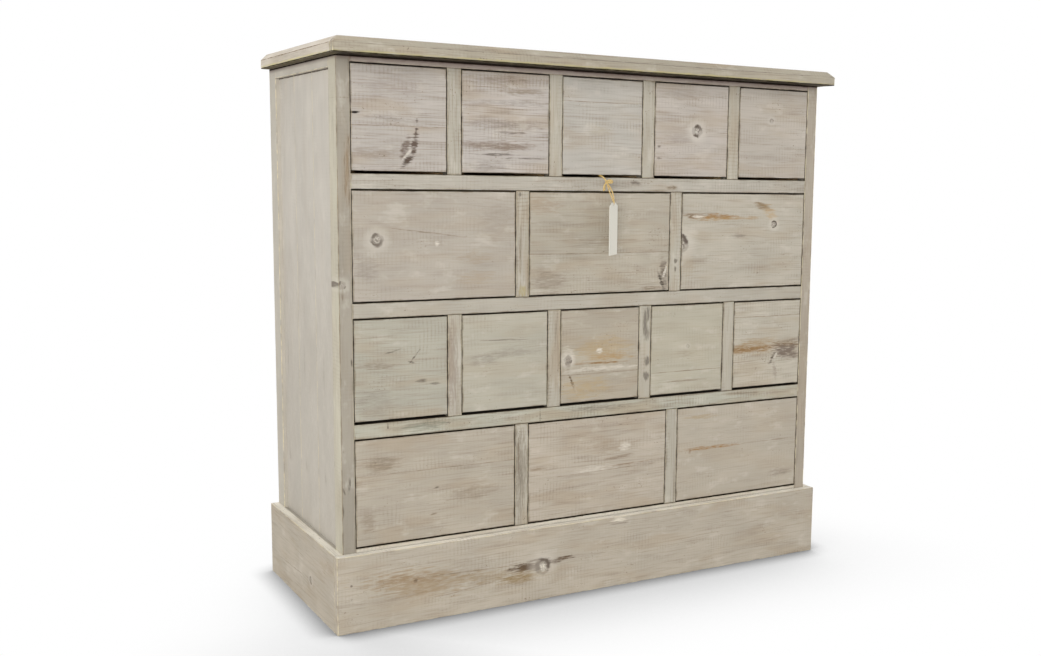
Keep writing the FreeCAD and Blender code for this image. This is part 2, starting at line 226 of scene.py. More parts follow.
def solids(node):
    """Lowest and highest corner of each separate solid of a CAD node, from left to right."""
    mesh = bmesh.new()
    mesh.from_mesh(frame["nodes"][node].data)
    bmesh.ops.remove_doubles(mesh, verts=mesh.verts, dist=0.001 * MM)
    left = set(mesh.verts)
    boxes = []
    while left:
        island = [left.pop()]
        for vertex in island:
            near = {edge.other_vert(vertex) for edge in vertex.link_edges} & left
            left -= near
            island.extend(near)
        spans = [[v.co[axis] for v in island] for axis in range(3)]
        boxes.append((Vector([min(span) for span in spans]), Vector([max(span) for span in spans])))
    mesh.free()
    return sorted(boxes, key=lambda corners: [round(c, 4) for c in corners[0]])


def glued_up(low, high, across, boards):
    """Split a wide piece into boards of uneven width."""
    shares = [1 + UNEVEN_WIDTH * (chance.random() - 0.5) for _ in range(boards)]
    start = low[across]
    for share in shares:
        end = start + (high[across] - low[across]) * share / sum(shares)
        first, last = low.copy(), high.copy()
        first[across], last[across] = start, end
        yield first, last
        start = end


def body_of(node):
    """The body that a CAD node moves with."""
    bodies = frame["record"]["behaviour"]["bodies"]
    return next(name for name, members in bodies.items() if node in members)


print(len(solids("dividers_small_rows")), "dividers in the small rows")

# %% [markdown]
# Each point of a board keeps three things that the finish reads: grain, where it lies from the board's
# middle in millimetres along the grain, across it and out of its face; half, half the board's size in
# the same order; and board, two chance numbers that shift its pattern and one for how soiled it is.
# The wood is drawn in these, so it runs with each board, no two are alike, and it travels with a drawer.

# %% Dress a CAD node with boards
JOINT_ARRIS = 0.25 * MM
LEAST_SOIL, SOIL_SPREAD = 0.4, 1.2


def dress(node, along, finish, boards=1, arris=0.9 * MM, end_arris=JOINT_ARRIS, wear=0.5 * MM,
          face=(0, -1, 0), moulding=None, soil=0.5):
    """Boards in place of a CAD node: along is the axis of the grain, face the way its show side looks."""
    face_axis = [abs(c) for c in face].index(1)
    axis = "xyz".index(along)
    across = 3 - axis - face_axis
    order = (axis, across, face_axis)
    points, faces, layers = [], [], {"grain": [], "half": [], "board": []}
    for solid_low, solid_high in solids(node):
        for low, high in glued_up(solid_low, solid_high, across, boards):
            mesh = shape_board(low, high, axis, arris, end_arris, moulding)
            wear_board(mesh, low, high, axis, wear)
            middle, half = (low + high) / 2, (high - low) / 2
            seed = (chance.random(), chance.random(), soil * (LEAST_SOIL + SOIL_SPREAD * chance.random()))
            start = len(points)
            mesh.verts.index_update()
            for vertex in mesh.verts:
                out = [(vertex.co[i] - middle[i]) / MM for i in order]
                out[2] *= sum(face)
                points.append(vertex.co.copy())
                layers["grain"].extend(out)
                layers["half"].extend(half[i] / MM for i in order)
                layers["board"].extend(seed)
            faces.extend([start + v.index for v in f.verts] for f in mesh.faces)
            mesh.free()
    data = bpy.data.meshes.new(node + "_boards")
    data.from_pydata(points, [], faces)
    for name, values in layers.items():
        data.attributes.new(name, "FLOAT_VECTOR", "POINT").data.foreach_set("vector", values)
    data.polygons.foreach_set("use_smooth", [True] * len(faces))
    data.materials.append(finish)
    piece = bpy.data.objects.new(node + "_boards", data)
    bpy.context.scene.collection.objects.link(piece)
    piece.modifiers.new("flat faces", "WEIGHTED_NORMAL").weight = 100
    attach(piece, body_of(node))
    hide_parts(node)
    return piece


print("the top rail rides on", body_of("top_rail"))

# %% [markdown]
# ## Limed pine
# Lime wash on pine shows four things at once, and each is a layer here:
#
# - growth rings, which a flat-sawn board shows as long wavering lines, 6 to 12 mm apart;
# - marks of the saw, square to the grain, which hold the dark wax in patches like a comb's teeth;
# - rubbed streaks and flecks where the wash came off and the grey-brown wood shows;
# - slow changes of tone over a hand's width, and thick pale places where the wash dried.
#
# Noise stretched along the grain gives the streaks. The recipe is a node group, because every board
# uses it. The two helpers below make a group and a stretched noise. The chance numbers of each board
# shift its pattern by up to 900 mm, so that no two boards show the same piece of it.

# %% Groups and streaks
SMOOTH = {"interpolation_type": "SMOOTHSTEP"}
WOOD_SHIFT = 900.0


def new_group(name, inputs, outputs):
    """An empty node group with its sockets, and the sockets inside it."""
    tree = bpy.data.node_groups.new(name, "ShaderNodeTree")
    for direction, sockets in (("INPUT", inputs), ("OUTPUT", outputs)):
        for label, kind in sockets.items():
            tree.interface.new_socket(label, in_out=direction, socket_type="NodeSocket" + kind)
    return tree, tree.nodes.new("NodeGroupInput").outputs, tree.nodes.new("NodeGroupOutput").inputs


def streaks(tree, place, along, across, detail=2.0):
    """Noise whose blots are this many millimetres long and high."""
    scaled = add(tree, "VectorMath", {0: place, 1: (1 / along, 1 / across, 1 / across)}, operation="MULTIPLY")
    return add(tree, "TexNoise", {"Vector": scaled, "Scale": 1.0, "Detail": detail, "Roughness": 0.6})


pine, given, result = new_group(
    "limed pine", {"Grain": "Vector", "Wash": "Color", "Show": "Float"},
    {"Color": "Color", "Height": "Float"})
board = add(pine, "Attribute", {}, output="Vector", attribute_name="board")
shift = add(pine, "VectorMath", {0: board, "Scale": WOOD_SHIFT}, output="Vector", operation="SCALE")
place = add(pine, "VectorMath", {0: given["Grain"], 1: shift}, operation="ADD")
along = add(pine, "SeparateXYZ", {"Vector": place}, output="X")
across = add(pine, "SeparateXYZ", {"Vector": place}, output="Y")
soil = add(pine, "SeparateXYZ", {"Vector": board}, output="Z")
print("group", pine.name, "takes", ", ".join(socket.name for socket in given if socket.name))

# %% [markdown]
# Most marks are one stretched noise, cut to a range. Noise lies round 0.5, seldom under 0.3 or over 0.7,
# so the two limits in the table settle how much of a board the mark covers, and the last two numbers how
# strong it is at each end of the range. A patch isn't seen itself: it is linked to the strong end of a
# finer mark, which then comes and goes with it.

# %% Marks that are one stretched noise
NOISE_MARKS = {  # millimetres long and high, detail, lower and upper limit, weakest, strongest, edge
    "ring patch": (150, 18, 2.0, 0.44, 0.68, 0.0, 0.30, SMOOTH),
    "rubbed": (105, 12, 4.0, 0.50, 0.76, 0.0, 0.24, SMOOTH),
    "saw patch": (75, 34, 2.0, 0.50, 0.68, 0.03, 0.22, SMOOTH),
    "saw rows": (26, 3.0, 2.0, 0.36, 0.62, 0.35, 1.0, {}),
    "pores": (70, 1.9, 3.0, 0.47, 0.74, 0.0, 0.34, SMOOTH),
    "fleck patch": (60, 40, 2.0, 0.52, 0.66, 0.0, 0.9, SMOOTH),
    "cloud": (110, 60, 2.0, 0.3, 0.7, 0.93, 1.07, {}),
    "warm": (130, 38, 2.0, 0.46, 0.70, 0.0, 0.34, SMOOTH),
    "thick wash": (46, 24, 3.0, 0.54, 0.72, 0.0, 0.30, SMOOTH),
}
marks = {}
for name, (length, width, detail, lower, upper, weakest, strongest, edge) in NOISE_MARKS.items():
    marks[name] = add(pine, "MapRange", {"Value": streaks(pine, place, length, width, detail),
                                         "From Min": lower, "From Max": upper,
                                         "To Min": weakest, "To Max": strongest}, **edge)
print(len(marks), "marks from stretched noise")

# %% [markdown]
# The growth rings are the repeating part of a slowly disturbed distance across the board: cheaper than
# modelling a log, and easy to bend round a knot. Each ring darkens slowly and ends sharply, as summer
# wood does. The saw left a tooth mark every few millimetres: real ones are finer, and these are drawn as
# coarse as they need to be to show. They are deepest where the wash is rubbed. Flecks are short, and lie
# only in their patches.

# %% Rings, saw marks and flecks
RING_SPACING = 8.5
RINGS_WAVER = 3.4
SAW_SPACING = 6.6
SAW_WAVER = 9.0

waver = add(pine, "Math", {0: streaks(pine, place, 260, 42, 1.0), 1: RINGS_WAVER}, operation="MULTIPLY")
phase = add(pine, "Math", {0: across, 1: 1 / RING_SPACING, 2: waver}, operation="MULTIPLY_ADD")
phase = add(pine, "Math", {0: phase}, operation="FRACT")
summer_wood = add(pine, "MapRange", {"Value": phase, "From Min": 0.78, "From Max": 0.95,
                                     "To Max": marks["ring patch"]}, **SMOOTH)
rings = add(pine, "MapRange", {"Value": phase, "From Min": 0.96, "From Max": 1.0,
                               "To Min": summer_wood, "To Max": 0.0}, **SMOOTH)
saw_waver = add(pine, "Math", {0: streaks(pine, place, 30, 60, 1.0), 1: SAW_WAVER}, operation="MULTIPLY")
teeth = add(pine, "Math", {0: along, 1: 2 * math.pi / SAW_SPACING, 2: saw_waver}, operation="MULTIPLY_ADD")
teeth = add(pine, "Math", {0: teeth}, operation="SINE")
saw_depth = add(pine, "Math", {0: marks["rubbed"], 1: 0.45, 2: marks["saw patch"]}, operation="MULTIPLY_ADD")
saw_depth = add(pine, "Math", {0: saw_depth, 1: marks["saw rows"]}, operation="MULTIPLY")
saw_marks = add(pine, "MapRange", {"Value": teeth, "From Min": -0.1, "From Max": 1.0,
                                   "To Max": saw_depth}, **SMOOTH)
flecks = add(pine, "MapRange", {"Value": streaks(pine, place, 4.5, 2.6, 1.0), "From Min": 0.66,
                                "From Max": 0.76, "To Max": marks["fleck patch"]}, **SMOOTH)
print("rings every", RING_SPACING, "mm, saw marks every", SAW_SPACING, "mm")

# %% [markdown]
# The marks add up to how much bare wood shows. The wash itself gets its clouds, a warm tint where the
# resin bleeds through, and the pale thick places. Where the wash is gone the surface lies a little
# lower, and the pores lie lowest: that is the height the bump reads.

# %% Colour and height
BARE_WOOD = linear("#7F7161")
WARM_CLOUD = linear("#A39076")
THICK_WASH = linear("#CFC9BD")

show = add(pine, "Math", {0: given["Show"], 1: soil}, operation="ADD")
lines = add(pine, "Math", {0: rings, 1: saw_marks}, operation="ADD")
worn_off = add(pine, "Math", {0: marks["rubbed"], 1: marks["pores"]}, operation="ADD")
worn_off = add(pine, "Math", {0: worn_off, 1: flecks}, operation="ADD")
worn_off = add(pine, "Math", {0: lines, 1: worn_off}, operation="ADD")
bare = add(pine, "Math", {0: worn_off, 1: show}, operation="MULTIPLY", use_clamp=True)
warm = add(pine, "Math", {0: marks["warm"], 1: show}, operation="MULTIPLY")
color = add(pine, "VectorMath", {0: given["Wash"], "Scale": marks["cloud"]}, operation="SCALE")
for amount, tone in ((warm, WARM_CLOUD), (marks["thick wash"], THICK_WASH), (bare, BARE_WOOD)):
    color = add(pine, "Mix", {0: amount, 6: color, 7: tone}, output=2, data_type="RGBA")
height = add(pine, "Math", {0: bare, 1: -1.0, 2: marks["pores"]}, operation="MULTIPLY_ADD")
pine.links.new(color, result["Color"])
pine.links.new(height, result["Height"])
print(len(pine.nodes), "nodes draw the limed pine")

# %% [markdown]
# ## Wax and pale arrises
# Dark wax stays where a cloth can't reach, as a thin uneven line beside each arris. The arris itself is
# a yellowish pale line: it is rubbed back, and the pale is also a painted highlight where the arris
# catches the light. How far a point is from the nearest arris of its own face is the second smallest of
# its distances to the board's six faces.

# %% Distance from the arris
edges, given, result = new_group(
    "wax and arrises", {"Color": "Color", "Amount": "Float", "Wear and highlight": "Float", "Gap": "Float"},
    {"Color": "Color", "Sheen": "Float"})
grain = add(edges, "Attribute", {}, output="Vector", attribute_name="grain")
half = add(edges, "Attribute", {}, output="Vector", attribute_name="half")
board = add(edges, "Attribute", {}, output="Vector", attribute_name="board")
size = add(edges, "VectorMath", {0: grain}, operation="ABSOLUTE")
from_faces = add(edges, "VectorMath", {0: half, 1: size}, operation="SUBTRACT")
from_end = add(edges, "SeparateXYZ", {"Vector": from_faces}, output="X")
from_edge = add(edges, "SeparateXYZ", {"Vector": from_faces}, output="Y")
from_face = add(edges, "SeparateXYZ", {"Vector": from_faces}, output="Z")
low_pair = add(edges, "Math", {0: from_end, 1: from_edge}, operation="MINIMUM")
high_pair = add(edges, "Math", {0: from_end, 1: from_edge}, operation="MAXIMUM")
rest = add(edges, "Math", {0: high_pair, 1: from_face}, operation="MINIMUM")
from_arris = add(edges, "Math", {0: low_pair, 1: rest}, operation="MAXIMUM")
print("distances to the end, edge and face of a board are ready")

# %% Wax beside the arris, pale on it
EDGE_WAX = linear("#66553F")
# The pale colour of an arris is worn wood and a painted highlight together.
PALE_ARRIS_WEAR_AND_HIGHLIGHT = linear("#DDD2B0")
WAX_SHIFT = 700.0
WAX_PATCHES_PER_MM, PALE_ARRIS_PATCHES_PER_MM = 0.035, 0.06

shift = add(edges, "VectorMath", {0: board, "Scale": WAX_SHIFT}, operation="SCALE")
place = add(edges, "VectorMath", {0: grain, 1: shift}, operation="ADD")
patchy = add(edges, "TexNoise", {"Vector": place, "Scale": WAX_PATCHES_PER_MM, "Detail": 3.0,
                                 "Roughness": 0.65})
line_width = add(edges, "MapRange", {"Value": patchy, "From Min": 0.35, "From Max": 0.7,
                                     "To Min": 1.2, "To Max": 4.2})
line_depth = add(edges, "MapRange", {"Value": patchy, "From Min": 0.35, "From Max": 0.65,
                                     "To Min": 0.15, "To Max": 0.62})
line = add(edges, "MapRange", {"Value": from_arris, "From Min": 0.9, "From Max": line_width,
                               "To Min": line_depth, "To Max": 0.0}, **SMOOTH)
line = add(edges, "Math", {0: line, 1: given["Amount"]}, operation="MULTIPLY")
color = add(edges, "Mix", {0: line, 6: given["Color"], 7: EDGE_WAX}, output=2, data_type="RGBA")
pale_arris_patch = add(edges, "TexNoise", {"Vector": place, "Scale": PALE_ARRIS_PATCHES_PER_MM, "Detail": 2.0})
pale_arris_depth = add(edges, "MapRange", {"Value": pale_arris_patch, "From Min": 0.38, "From Max": 0.6})
wear_and_highlight = add(edges, "MapRange", {"Value": from_arris, "From Min": 0.7, "From Max": 1.5,
                               "To Min": pale_arris_depth, "To Max": 0.0}, **SMOOTH)
wear_and_highlight = add(edges, "Math", {0: wear_and_highlight, 1: given["Wear and highlight"]}, operation="MULTIPLY")
color = add(edges, "Mix", {0: wear_and_highlight, 6: color, 7: PALE_ARRIS_WEAR_AND_HIGHLIGHT}, output=2, data_type="RGBA")
print("an arris is pale to 1.5 mm, and its line of wax ends 1.2 to 4.2 mm from it")

# %% [markdown]
# The gaps round the drawers hold the darkest wax, and the same dark is painted shade, the shade that
# falls into a gap. They are a matter of place on the chest: just behind the front, between the posts,
# under the top. On faces that look up or down the dark starts further out, because a cloth wipes along
# such an edge and not across it, and on faces that look sideways it is thin and patchy. It ends some 10 mm
# in, where the front's edge is bare again. A drawer's points keep their own place when it moves, so its
# wax and painted shade move with it.

# %% Wax and painted shade in the gaps
FRONT_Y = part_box("drawer_r1_c1_front")[0].y / MM
GAP_FROM_Y, GAP_TO_Y = FRONT_Y + 0.7, FRONT_Y + 3
GAP_FADES_OVER = 7
FURTHER_OUT = 2.3
GAP_HALF_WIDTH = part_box("front_post_right")[0].x / MM + 0.6
CREASE_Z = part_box("top_moulding_front")[0].z / MM

where = add(edges, "TexCoord", {}, output="Object")
where = add(edges, "VectorMath", {0: where, "Scale": 1 / MM}, operation="SCALE")
where_x = add(edges, "SeparateXYZ", {"Vector": where}, output="X")
where_x = add(edges, "Math", {0: where_x}, operation="ABSOLUTE")
where_y = add(edges, "SeparateXYZ", {"Vector": where}, output="Y")
where_z = add(edges, "SeparateXYZ", {"Vector": where}, output="Z")
between_posts = add(edges, "Math", {0: where_x, 1: GAP_HALF_WIDTH}, operation="LESS_THAN")
under_top = add(edges, "Math", {0: where_z, 1: CREASE_Z}, operation="LESS_THAN")
inside = add(edges, "Math", {0: between_posts, 1: under_top}, operation="MULTIPLY")
facing = add(edges, "TexCoord", {}, output="Normal")
facing = add(edges, "VectorMath", {0: facing}, operation="ABSOLUTE")
looks_up = add(edges, "SeparateXYZ", {"Vector": facing}, output="Z")
looks_aside = add(edges, "SeparateXYZ", {"Vector": facing}, output="X")
depth = add(edges, "Math", {0: looks_up, 1: FURTHER_OUT, 2: where_y}, operation="MULTIPLY_ADD")
wax_and_shade = add(edges, "MapRange", {"Value": depth, "From Min": GAP_FROM_Y - 0.4, "From Max": GAP_FROM_Y,
                                "To Max": inside})
wax_and_shade = add(edges, "MapRange", {"Value": where_y, "From Min": GAP_TO_Y, "From Max": GAP_TO_Y + GAP_FADES_OVER,
                                "To Min": wax_and_shade, "To Max": 0.0})
patchy_on_sides = add(edges, "MapRange", {"Value": patchy, "From Min": 0.4, "From Max": 0.6, "To Min": 0.5})
patchy_on_sides = add(edges, "Mix", {0: looks_aside, 2: 1.0, 3: patchy_on_sides})
wax_and_shade = add(edges, "Math", {0: wax_and_shade, 1: patchy_on_sides}, operation="MULTIPLY")
print("gap wax from", round(GAP_FROM_Y - FRONT_Y, 1), "mm behind the fronts, fading at",
      round(GAP_TO_Y - FRONT_Y, 1), "mm")

# %% [markdown]
# Wax and dust also gather in the crease under the top, and shade falls there: its two dark lines with a
# paler one between are wax and painted shade together, and the purplish brown dusk on the rail below is
# painted shade. Each is a chain of ramps over the height: every ramp starts from the one before and leads
# on to the next amount. Where wax or painted shade lies, the sheen is taken away, as the wax is dull.

# %% Crease under the top
# This near-black is dark wax and painted shade: it darkens the crease and the gaps.
WAX_AND_SHADE = linear("#1D1610")
# The purplish brown is painted shade on the rail under the top.
PAINTED_SHADE_PURPLE = linear("#6E5752")
CREASE_RAMPS = ((-3.4, -1.9, 1.0), (-0.6, -0.2, 0.5), (0.2, 0.5, 1.0), (1.3, 1.8, 0.0))
PAINTED_SHADE_RAMPS = ((-9.0, -2.4, 0.6), (-0.3, 0.0, 0.0))
SHEEN = 0.35


def ramps_over_height(ramps):
    """Ramps above and below the crease: (from height, to height, the amount they reach)."""
    reached = 0.0
    for low, high, amount in ramps:
        reached = add(edges, "MapRange", {"Value": where_z, "From Min": CREASE_Z + low,
                                          "From Max": CREASE_Z + high, "To Min": reached, "To Max": amount})
    return reached


wax_and_shade = add(edges, "Math", {0: wax_and_shade, 1: ramps_over_height(CREASE_RAMPS)}, operation="MAXIMUM")
# A board's long edges beside the drawers get the gap's wax and painted shade too.
gap_line = add(edges, "MapRange", {"Value": from_edge, "From Min": 0.5, "From Max": 1.1,
                                   "To Min": given["Gap"], "To Max": 0.0})
wax_and_shade = add(edges, "Math", {0: wax_and_shade, 1: gap_line}, operation="MAXIMUM")
color = add(edges, "Mix", {0: ramps_over_height(PAINTED_SHADE_RAMPS), 6: color, 7: PAINTED_SHADE_PURPLE}, output=2,
            data_type="RGBA")
color = add(edges, "Mix", {0: wax_and_shade, 6: color, 7: WAX_AND_SHADE}, output=2, data_type="RGBA")
sheen = add(edges, "MapRange", {"Value": wax_and_shade, "To Min": SHEEN, "To Max": 0.0})
edges.links.new(color, result["Color"])
edges.links.new(sheen, result["Sheen"])
print(len(edges.nodes), "nodes draw the wax and the arrises")

# %% [markdown]
# ## Knots and stains
# Knots and stains make each front its own, so they are placed one by one, in millimetres from the middle
# of the board. A stain is a soft ellipse with a ragged border, stretched along the grain and broken up by
# the streaks.

# %% Stain
stain, given, result = new_group(
    "stain", {"Color": "Color", "Grain": "Vector", "Place": "Vector", "Size": "Vector", "Turn": "Vector",
              "Tone": "Color", "Depth": "Float"}, {"Color": "Color"})
local = add(stain, "Mapping", {"Vector": given["Grain"], "Location": given["Place"],
                               "Rotation": given["Turn"], "Scale": given["Size"]}, vector_type="TEXTURE")
from_middle = add(stain, "VectorMath", {0: local}, output="Value", operation="LENGTH")
ragged = streaks(stain, given["Grain"], 24, 2.8, 3.0)
border = add(stain, "MapRange", {"Value": ragged, "From Min": 0.3, "From Max": 0.7,
                                 "To Min": -0.45, "To Max": 0.45})
border = add(stain, "Math", {0: from_middle, 1: border}, operation="ADD")
broken = add(stain, "MapRange", {"Value": streaks(stain, given["Grain"], 13, 2.2, 3.0), "From Min": 0.34,
                                 "From Max": 0.56, "To Min": 0.25, "To Max": 1.0})
broken = add(stain, "Math", {0: broken, 1: given["Depth"]}, operation="MULTIPLY")
mask = add(stain, "MapRange", {"Value": border, "From Min": 0.40, "From Max": 1.15,
                               "To Min": broken, "To Max": 0.0}, **SMOOTH)
color = add(stain, "Mix", {0: mask, 6: given["Color"], 7: given["Tone"]}, output=2, data_type="RGBA")
stain.links.new(color, result["Color"])
print(len(stain.nodes), "nodes draw a stain")

# %% [markdown]
# A knot is a dark rim, closed on one side only, round a flecked heart, with the wash thick about it. It
# is drawn in its own radius: 1 is the rim, and a slow noise makes it out of round.

# %% Knot
KNOT_RIM = linear("#5C5046")

knot, given, result = new_group(
    "knot", {"Color": "Color", "Grain": "Vector", "Place": "Vector", "Size": "Vector", "Depth": "Float"},
    {"Color": "Color"})
local = add(knot, "Mapping", {"Vector": given["Grain"], "Location": given["Place"], "Scale": given["Size"]},
            vector_type="TEXTURE")
own = add(knot, "VectorMath", {0: local, 1: given["Place"]}, operation="ADD")
wobble = add(knot, "TexNoise", {"Vector": own, "Scale": 1.3, "Detail": 2.0})
wobble = add(knot, "MapRange", {"Value": wobble, "To Min": -0.36, "To Max": 0.36})
from_middle = add(knot, "VectorMath", {0: local}, output="Value", operation="LENGTH")
radius = add(knot, "Math", {0: from_middle, 1: wobble}, operation="ADD")
dark_side = add(knot, "TexNoise", {"Vector": own, "Scale": 0.6, "Detail": 0.0})
dark_side = add(knot, "MapRange", {"Value": dark_side, "From Min": 0.38, "From Max": 0.55,
                                   "To Min": 0.30, "To Max": 1.0}, **SMOOTH)
heart = add(knot, "TexNoise", {"Vector": own, "Scale": 3.2, "Detail": 3.0})
heart = add(knot, "MapRange", {"Value": heart, "From Min": 0.42, "From Max": 0.62, "To Max": 0.75})
rim = add(knot, "MapRange", {"Value": radius, "From Min": 0.35, "From Max": 0.80,
                             "To Min": heart, "To Max": dark_side}, **SMOOTH)
rim = add(knot, "MapRange", {"Value": radius, "From Min": 0.92, "From Max": 1.18,
                             "To Min": rim, "To Max": 0.0}, **SMOOTH)
rim = add(knot, "Math", {0: rim, 1: given["Depth"]}, operation="MULTIPLY")
halo = add(knot, "MapRange", {"Value": radius, "From Min": 1.1, "From Max": 2.6,
                              "To Min": 0.40, "To Max": 0.0}, **SMOOTH)
halo = add(knot, "Math", {0: halo, 1: given["Depth"]}, operation="MULTIPLY")
color = add(knot, "Mix", {0: halo, 6: given["Color"], 7: THICK_WASH}, output=2, data_type="RGBA")
color = add(knot, "Mix", {0: rim, 6: color, 7: KNOT_RIM}, output=2, data_type="RGBA")
knot.links.new(color, result["Color"])
print(len(knot.nodes), "nodes draw a knot")

# %% [markdown]
# The grain bends round a knot. The distance across the board shrinks near the knot before the rings are
# drawn, so they part as they pass it, over a stretch longer than it is wide.

# %% Bent grain
BEND_REACH = (0.28, 0.62, 0.0)

bend, given, result = new_group(
    "bent grain", {"Grain": "Vector", "Place": "Vector", "Size": "Vector"}, {"Grain": "Vector"})
local = add(bend, "Mapping", {"Vector": given["Grain"], "Location": given["Place"], "Scale": given["Size"]},
            vector_type="TEXTURE")
near = add(bend, "VectorMath", {0: local, 1: BEND_REACH}, operation="MULTIPLY")
near = add(bend, "VectorMath", {0: near}, output="Value", operation="LENGTH")
near = add(bend, "MapRange", {"Value": near, "To Min": 0.8, "To Max": 0.0}, **SMOOTH)
offset = add(bend, "VectorMath", {0: given["Grain"], 1: given["Place"]}, operation="SUBTRACT")
offset = add(bend, "VectorMath", {0: offset, 1: (0.0, -1.0, 0.0)}, operation="MULTIPLY")
offset = add(bend, "VectorMath", {0: offset, "Scale": near}, operation="SCALE")
bent = add(bend, "VectorMath", {0: given["Grain"], 1: offset}, operation="ADD")
bend.links.new(bent, result["Grain"])
print("grain bends as far as", round(1 / BEND_REACH[0], 1), "radii along and", round(1 / BEND_REACH[1], 1),
      "across")

# %% [markdown]
# ## The finish of a board
# The material is planed pine, brushed with lime wash and waxed: matt, with a low even sheen, so the
# roughness stays high and only the bump is fine. Each board's finish puts the groups together in the
# order in which the real one got them: the wood and its wash, the stains, the knots, and then the wax.
#
# A glued front is two boards, so the grain above the joint comes from another place. Some pieces have a
# second wash on the faces that look one way, such as painted light on the ledges that look up and painted
# shade on the undersides of the top. The dividers' stains are placed by height and sideways place on the
# chest, because one finish serves them all.

# %% Settings of a limed board
STAIN_THROUGH = 40.0
OTHER_BOARD = (371.0, 93.0, 0.0)
ROUGHNESS = 0.72
BROWN_STAIN, GREY_STAIN, TAN_STAIN, WAX_STAIN = "#77654F", "#6B6056", "#A0804F", "#463A2D"
PALE_STAIN = "#D6CFC2"


def by_direction(tree, wash, second_wash):
    """The wash, or the second wash's colour on faces that look in its direction."""
    direction, second_color = second_wash
    facing = add(tree, "TexCoord", {}, output="Normal")
    facing = add(tree, "VectorMath", {0: facing, 1: direction}, output="Value", operation="DOT_PRODUCT")
    facing = add(tree, "Math", {0: facing, 1: 0.6}, operation="GREATER_THAN")
    return add(tree, "Mix", {0: facing, 6: linear(wash), 7: linear(second_color)}, output=2, data_type="RGBA")


def height_and_side(tree):
    """The chest's own height and sideways place of a point, in millimetres."""
    place = add(tree, "TexCoord", {}, output="Object")
    place = add(tree, "VectorMath", {0: place, "Scale": 1 / MM}, operation="SCALE")
    return add(tree, "CombineXYZ", {"X": add(tree, "SeparateXYZ", {"Vector": place}, output="Z"),
                                    "Y": add(tree, "SeparateXYZ", {"Vector": place}, output="X")})


print("a stain goes", STAIN_THROUGH, "mm deep, so it shows on a board's edge too")

# %% One finish for each kind of board
def limed_pine(name, wash, show=0.45, wax=1.0, wear_and_highlight=0.8, gap_wax_and_shade=0.0, glue_line=None, knots=(), stains=(),
               second_wash=None, by_height=False):
    """Limed pine with this wash colour. knots: (along, across, radius, depth). stains: (along, across,
    half length, half height, degrees, tone, depth). second_wash: (direction, colour)."""
    material, tree, surface = new_material(name)
    face = add(tree, "Attribute", {}, output="Vector", attribute_name="grain")
    grain = face
    for along, across, radius, _ in knots:
        grain = add(tree, "Group", {"Grain": grain, "Place": (along, across, 0),
                                    "Size": (radius, radius, STAIN_THROUGH)}, node_tree=bend)
    if glue_line is not None:
        across = add(tree, "SeparateXYZ", {"Vector": face}, output="Y")
        upper = add(tree, "Math", {0: across, 1: glue_line}, operation="GREATER_THAN")
        upper = add(tree, "VectorMath", {0: OTHER_BOARD, "Scale": upper}, operation="SCALE")
        grain = add(tree, "VectorMath", {0: grain, 1: upper}, operation="ADD")
        stains = [(0, glue_line, 400, 0.75, 0, BROWN_STAIN, 0.75), *stains]
    washed = by_direction(tree, wash, second_wash) if second_wash else linear(wash)
    wood = add(tree, "Group", {"Grain": grain, "Wash": washed, "Show": show}, node_tree=pine)
    if by_height:
        face = height_and_side(tree)
    color = wood
    for along, across, half_length, half_height, degrees, tone, depth in stains:
        color = add(tree, "Group", {"Color": color, "Grain": face, "Place": (along, across, 0),
                                    "Size": (half_length, half_height, STAIN_THROUGH),
                                    "Turn": (0, 0, math.radians(degrees)), "Tone": linear(tone),
                                    "Depth": depth}, node_tree=stain)
    for along, across, radius, depth in knots:
        color = add(tree, "Group", {"Color": color, "Grain": face, "Place": (along, across, 0),
                                    "Size": (radius, radius, STAIN_THROUGH), "Depth": depth}, node_tree=knot)
    color = add(tree, "Group", {"Color": color, "Amount": wax, "Wear and highlight": wear_and_highlight, "Gap": gap_wax_and_shade}, node_tree=edges)
    bump = add(tree, "Bump", {"Height": wood.node.outputs["Height"], "Strength": 0.5, "Distance": 0.3 * MM})
    tree.links.new(color, surface["Base Color"])
    tree.links.new(color.node.outputs["Sheen"], surface["Specular IOR Level"])
    tree.links.new(bump, surface["Normal"])
    surface["Roughness"].default_value = ROUGHNESS
    return material


print("roughness of limed pine:", ROUGHNESS)

# %% [markdown]
# ## The carcass
# Posts, rails and dividers stand flush with the drawers. The grain runs the long way of every board.
# Rails run through between the posts and the dividers butt against them, so a divider's ends keep
# sharp arrises and the joint shows as a hairline.
#
# The left post is the most handled: its inner edge is brown in its upper part, and a small knot shows
# above its middle. The dividers are grubby where fingers reach for the drawers beside them.

# %% Finishes of the posts and dividers
DIRT = "#7B7468"
divider_pine = limed_pine(
    "limed pine, dividers", "#B1AB9D", wear_and_highlight=0.4, by_height=True,
    stains=[(487, 94.5, 34, 5, 0, DIRT, 1.2), (507, 101, 20, 4, 0, DIRT, 1.0), (470, 99, 16, 7, 0, DIRT, 0.8),
            (262, -164.5, 44, 1.4, 0, BROWN_STAIN, 1.6), (230, -160, 30, 5, 0, DIRT, 0.7),
            (417, 100, 10, 7, 0, DIRT, 1.6), (389, 99, 9, 7, 0, DIRT, 1.6),
            (235, -162, 90, 16, 0, "#857B6C", 0.75), (430, -292, 95, 14, 0, "#8F8277", 0.65),
            (602, 159.3, 5, 4, 0, DIRT, 1.5), (587, 159.5, 6, 3, 0, DIRT, 1.2),
            (723, -163.8, 4, 4, 0, DIRT, 1.2),
            (556, -157, 10, 10, 0, "#A79A74", 1.0), (620, -163, 50, 1.6, 0, BROWN_STAIN, 0.8)])
